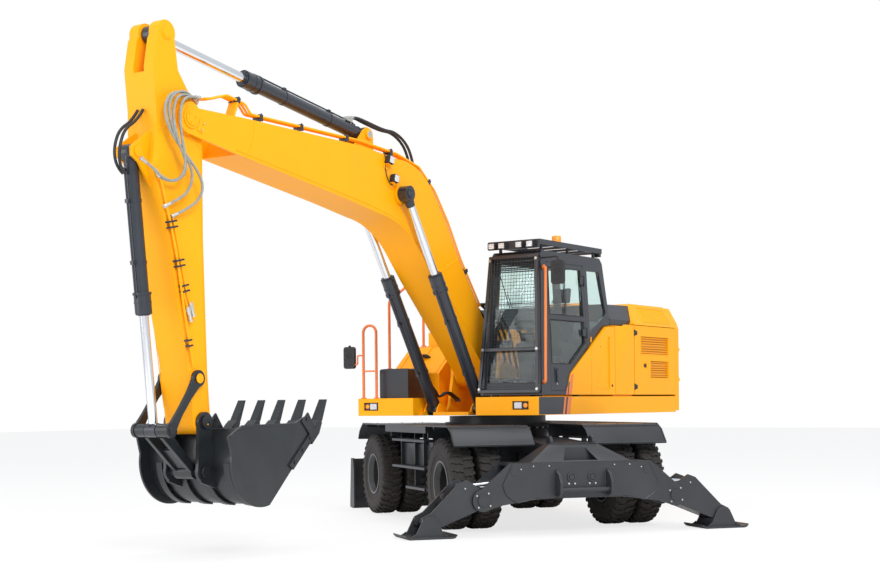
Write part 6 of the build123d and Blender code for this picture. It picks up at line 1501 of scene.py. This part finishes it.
# %% Legs and pads
FOOT_Y, FOOT_Z = 1710, 165
for name, side in SIDES:
    bm, caps = bmesh.new(), bmesh.new()
    for at, way in ((-2554, -1), (-2266, 1)):
        for y, z, radius in ((1300, 515, 44), (FOOT_Y, FOOT_Z, 40)):
            add_bar(bm, CHASSIS, (at, side * y, z), (at + way * 12, side * y, z), radius, 28)
            add_bar(caps, CHASSIS, (at + way * 11, side * (y + 14), z), (at + way * 19, side * (y + 14), z), 9, 6)
        for y, z in ((1245, 385), (1290, 350), (1215, 440), (1360, 460)):
            add_bar(caps, CHASSIS, (at, side * y, z), (at + way * 9, side * y, z), 9, 6)
    add_bar(bm, CHASSIS, (-2440, side * 1500, 385), (-2440, side * 1530, 455), 26, 16)
    finish_piece(bm, "leg_caps_" + name, "leg_" + name, CHASSIS_BLACK, 0.002)
    finish_piece(caps, "leg_bolts_" + name, "leg_" + name, ZINC, 0.001)
    bm = bmesh.new()
    for end in (-1, 1):  # toes that turn up, and two ribs beside each ear
        y, rib = FOOT_Y + end * 233, FOOT_Y + end * 150
        for outline, ranges in (
                (((y, 0), (y + end * 28, 8), (y + end * 52, 32), (y + end * 46, 46), (y + end * 20, 28), (y, 22)),
                 ((-2640, -2180),)),
                (((rib, 21), (rib + end * 65, 21), (rib, 62)), ((-2600, -2588), (-2232, -2220)))):
            for low, high in ranges:
                add_plate(bm, CHASSIS, [(side * a, b) for a, b in outline], low, high, "X")
    for at, way in ((-2583, -1), (-2237, 1)):
        add_bar(bm, CHASSIS, (at, side * FOOT_Y, FOOT_Z), (at + way * 8, side * FOOT_Y, FOOT_Z), 58, 32)
    finish_piece(bm, "foot_toes_" + name, "foot_" + name, CHASSIS_BLACK, 0.002)
print("legs:", made["leg_caps_left"], "faces each")

# %% [markdown]
# Under the deck sits the slewing ring, held by a circle of screws. The fenders have a rolled edge and struts,
# the steps have rows of raised rings, and each wheel has a hub with its own screws and a valve stem.

# %% Ring, fenders and steps
rows = [set_out(RING_TREE, short_bar(0, 15, 12, 6), ZINC, CHASSIS @ Matrix.Translation((0, 0, z)), Count=count,
                Radius=radius, Start=0.1) for z, radius, count in ((1122, 628.0, 40), (1104, 664.0, 36))]
finish_mesh(join_meshes(rows), "ring_screws", "chassis", ZINC)
bm = bmesh.new()
add_ring(bm, CHASSIS, (0, 0, 1088), (0, 0, 1), 682, 630, 17, 96)
finish_piece(bm, "ring_flange", "chassis", CHASSIS_BLACK, 0.002)
rolled = [[(x, side * 1266, z) for x, z in (
    (-2080, 950), (-1960, 1100), (-1850, 1160), (-1050, 1160), (450, 1160), (1700, 1160), (1860, 1060), (1930, 960))]
          for side in (1, -1)]
rolled += [[(x, side * 340, z), (x, side * 1262, z)] for side in (1, -1) for x, z in ((-2080, 952), (1930, 962))]
finish_mesh(line_mesh(CHASSIS, [bent(run, 20) for run in rolled], 9, 3, 4), "fender_edges", "chassis",
            CHASSIS_BLACK)
bm = bmesh.new()
for side in (1, -1):
    for x in (-1900, -1320, 1000, 1560):  # angle irons under the fenders, and their bolts
        add_plate(bm, CHASSIS, ((x, 1146), (x + 40, 1146), (x + 40, 1138), (x + 8, 1138), (x + 8, 1108), (x, 1108)),
                  side * 345, side * 1255)
        for y in (480, 760, 1100):
            add_bar(bm, CHASSIS, (x + 24, side * y, 1158), (x + 24, side * y, 1166), 9, 6)
    for low, high, z in ((-900, 420, 988), (-900, 420, 668), (-900, -150, 428)):
        for x in range(low + 40, high - 20, 60):  # raised grip rings on the treads
            for y in (1075, 1140, 1205):
                add_ring(bm, CHASSIS, (x, side * y, z - 1), (0, 0, 1), 15, 9, 5, 10)
finish_piece(bm, "fender_and_step_grips", "chassis", CHASSIS_BLACK)
print("irons and grip rings:", made["fender_and_step_grips"], "faces")

# %% Hubs
for wheel, (axle_x, sign) in WHEELS.items():
    on_hub = CHASSIS @ Matrix.Translation((axle_x * 1000, 0, 515))
    bm = bmesh.new()
    add_ring(bm, on_hub, (0, sign * 1090, 0), (0, sign, 0), 118, 96, 8, 40)
    add_pin(bm, on_hub, 0, 0, sign * 1120, sign * 1130, 60, 32, 44)
    add_pin(bm, on_hub, 40, 20, sign * 1122, sign * 1134, 11, 6)
    for x, z in circle_of(12, 106):
        add_pin(bm, on_hub, x, z, sign * 1096, sign * 1106, 8, 6)
    add_bar(bm, on_hub, (0, sign * 1100, 212), (0, sign * 1160, 226), 7, 10)
    finish_piece(bm, "hub_" + wheel, "wheel_" + wheel, RIM_BLACK, 0.001)
print("hubs:", len(WHEELS))

# %% [markdown]
# ## Blade and bucket
# Bolts hold the blade's cutting edge and the bucket's side cutters. Wear bars follow the round back of the
# bucket, and each tooth is held by a cross pin through its adapter.

# %% Blade and bucket details
bm = bmesh.new()
for step in range(14):
    y = -1150 + 177 * step
    add_bar(bm, CHASSIS, (2392, y, 60), (2404, y, 66), 14, 6)
for y in (-800, -400, 400, 800):  # ribs behind the mouldboard
    add_plate(bm, CHASSIS, ((2328, 100), (2300, 130), (2290, 350), (2312, 620), (2345, 640), (2330, 350)),
              y - 8, y + 8)
finish_piece(bm, "blade_details", "blade", CHASSIS_BLACK, 0.002)

SHELL_RADIUS = 398.6
SHELL_TURNS = [1.6 + 1.55 * i / 12 for i in range(13)]
TEETH = [-532 + 266 * tooth for tooth in range(5)]


def on_shell(lift):
    """Points along the bucket's round back, this far off it."""
    reach = SHELL_RADIUS + lift
    return [(459.4 + reach * math.cos(turn), 386.5 + reach * math.sin(turn)) for turn in SHELL_TURNS]


bm, bolts = bmesh.new(), bmesh.new()
for y in (-430, -145, 145, 430):
    add_plate(bm, BUCKET, on_shell(-3) + on_shell(13)[::-1], y - 38, y + 38)
for side in (1, -1):
    for x, z in ((1059, 173), (940, 286), (822, 398), (1006, -16)):
        add_pin(bolts, BUCKET, x, z, side * 608, side * 622, 19, 6)
        add_pin(bm, BUCKET, x, z, side * 606, side * 611, 27, 20)
    for x, z, radius in ((0, 0, 62), (-22, 462, 52)):
        add_pin(bm, BUCKET, x, z, side * 238, side * 250, radius, 32)
        add_pin(bolts, BUCKET, x + 26, z, side * 249, side * 258, 10, 6)
for y in TEETH:
    add_pin(bolts, BUCKET, 1168, 62, y - 62, y + 62, 9, 10)
finish_piece(bm, "bucket_wear_bars", "bucket", BUCKET_BLACK, 0.003)
finish_piece(bolts, "bucket_bolts", "bucket", BUCKET_BLACK, 0.002)
seams = [[(860, y, 26), (100, y, 36), (-80, y, 128)] for y in (592, -592)]
seams += [[(x, y, z) for x, z in on_shell(1)] for y in (586, -586)]
finish_mesh(line_mesh(BUCKET, seams, 5, 2, 4), "bucket_welds", "bucket", BUCKET_BLACK)
print("tooth pins:", len(TEETH))

# %% [markdown]
# ## Floor, light and camera
# The floor is plain and pale, with a soft studio light from above and from the front left. To the camera it
# is white, so the machine stands clear of it.

# %% Floor and light
def seen_plainly(nodes, links):
    """An output that is 1 where the camera looks at a thing, straight or through glass."""
    path = add_node(nodes, "LightPath")
    seen = add_node(nodes, "Math")
    seen.operation = "MAXIMUM"
    for k, ray in enumerate(("Is Camera Ray", "Is Transmission Ray")):
        links.new(path.outputs[ray], seen.inputs[k])
    return seen.outputs[0]


def mix(nodes, links, share, first, second, target):
    """Mixes two shaders by this share and gives them to the output node."""
    both = add_node(nodes, "MixShader")
    for k, output in enumerate((share, first.outputs[0], second.outputs[0])):
        links.new(output, both.inputs[k])
    links.new(both.outputs[0], nodes[target].inputs["Surface"])


def pale(name, share):
    """A white floor: this share of what the camera sees of it is plain white."""
    material, nodes, links, shader = new_finish(name)
    shader.inputs["Base Color"].default_value = (0.86, 0.86, 0.86, 1)
    shader.inputs["Roughness"].default_value = 0.9
    weight = add_node(nodes, "Math")
    weight.operation = "MULTIPLY"
    weight.inputs[1].default_value = share
    links.new(seen_plainly(nodes, links), weight.inputs[0])
    mix(nodes, links, weight.outputs[0], shader, add_node(nodes, "Emission"), "Material Output")
    return material


bm = bmesh.new()
bmesh.ops.create_grid(bm, x_segments=2, y_segments=2, size=60)
floor = show("floor", closed(bm, "floor"))
floor.data.materials.append(pale("floor", 0.75))

world = bpy.data.worlds.new("studio")
bpy.context.scene.world = world
world.use_nodes = True
nodes, links = world.node_tree.nodes, world.node_tree.links
background = nodes["Background"]
background.inputs["Color"].default_value = (0.93, 0.95, 1.0, 1)
background.inputs["Strength"].default_value = 0.82
white = add_node(nodes, "Background", Color=(1, 1, 1, 1), Strength=1.0)
mix(nodes, links, seen_plainly(nodes, links), background, white, "World Output")


def add_light(name, spot, aim, size, power):
    """A square soft light that points at a place."""
    light = bpy.data.lights.new(name, "AREA")
    light.size = size
    light.energy = power
    lamp = show(name, light)
    lamp.location = spot
    lamp.rotation_euler = (Vector(aim) - Vector(spot)).to_track_quat("-Z", "Y").to_euler()


add_light("key", (14, 20, 17), (0, 0, 1.5), 9, 4200)
add_light("fill", (14, -6, 5), (0, 0, 1.5), 8, 500)
add_light("top", (0, 0, 14), (0, 0, 0), 10, 700)
print("lights:", len(bpy.data.lights))

# %% Camera
camera = bpy.data.cameras.new("camera")
camera.sensor_width = 36
camera.lens = 61.2
camera.shift_y = 0.136
viewer = show("camera", camera)
viewer.location = (14.0, 9.5, 1.41)
towards = Vector((-0.829, -0.559, 0))
viewer.rotation_euler = (towards.to_track_quat("-Z", "Y").to_matrix().to_4x4()
                         @ Matrix.Rotation(math.radians(-0.57), 4, "Z")).to_euler()
bpy.context.scene.camera = viewer
bpy.context.scene.view_settings.view_transform = "Standard"

# %% Sizes, and the end
print(len(made), "pieces,", sum(made.values()), "faces")
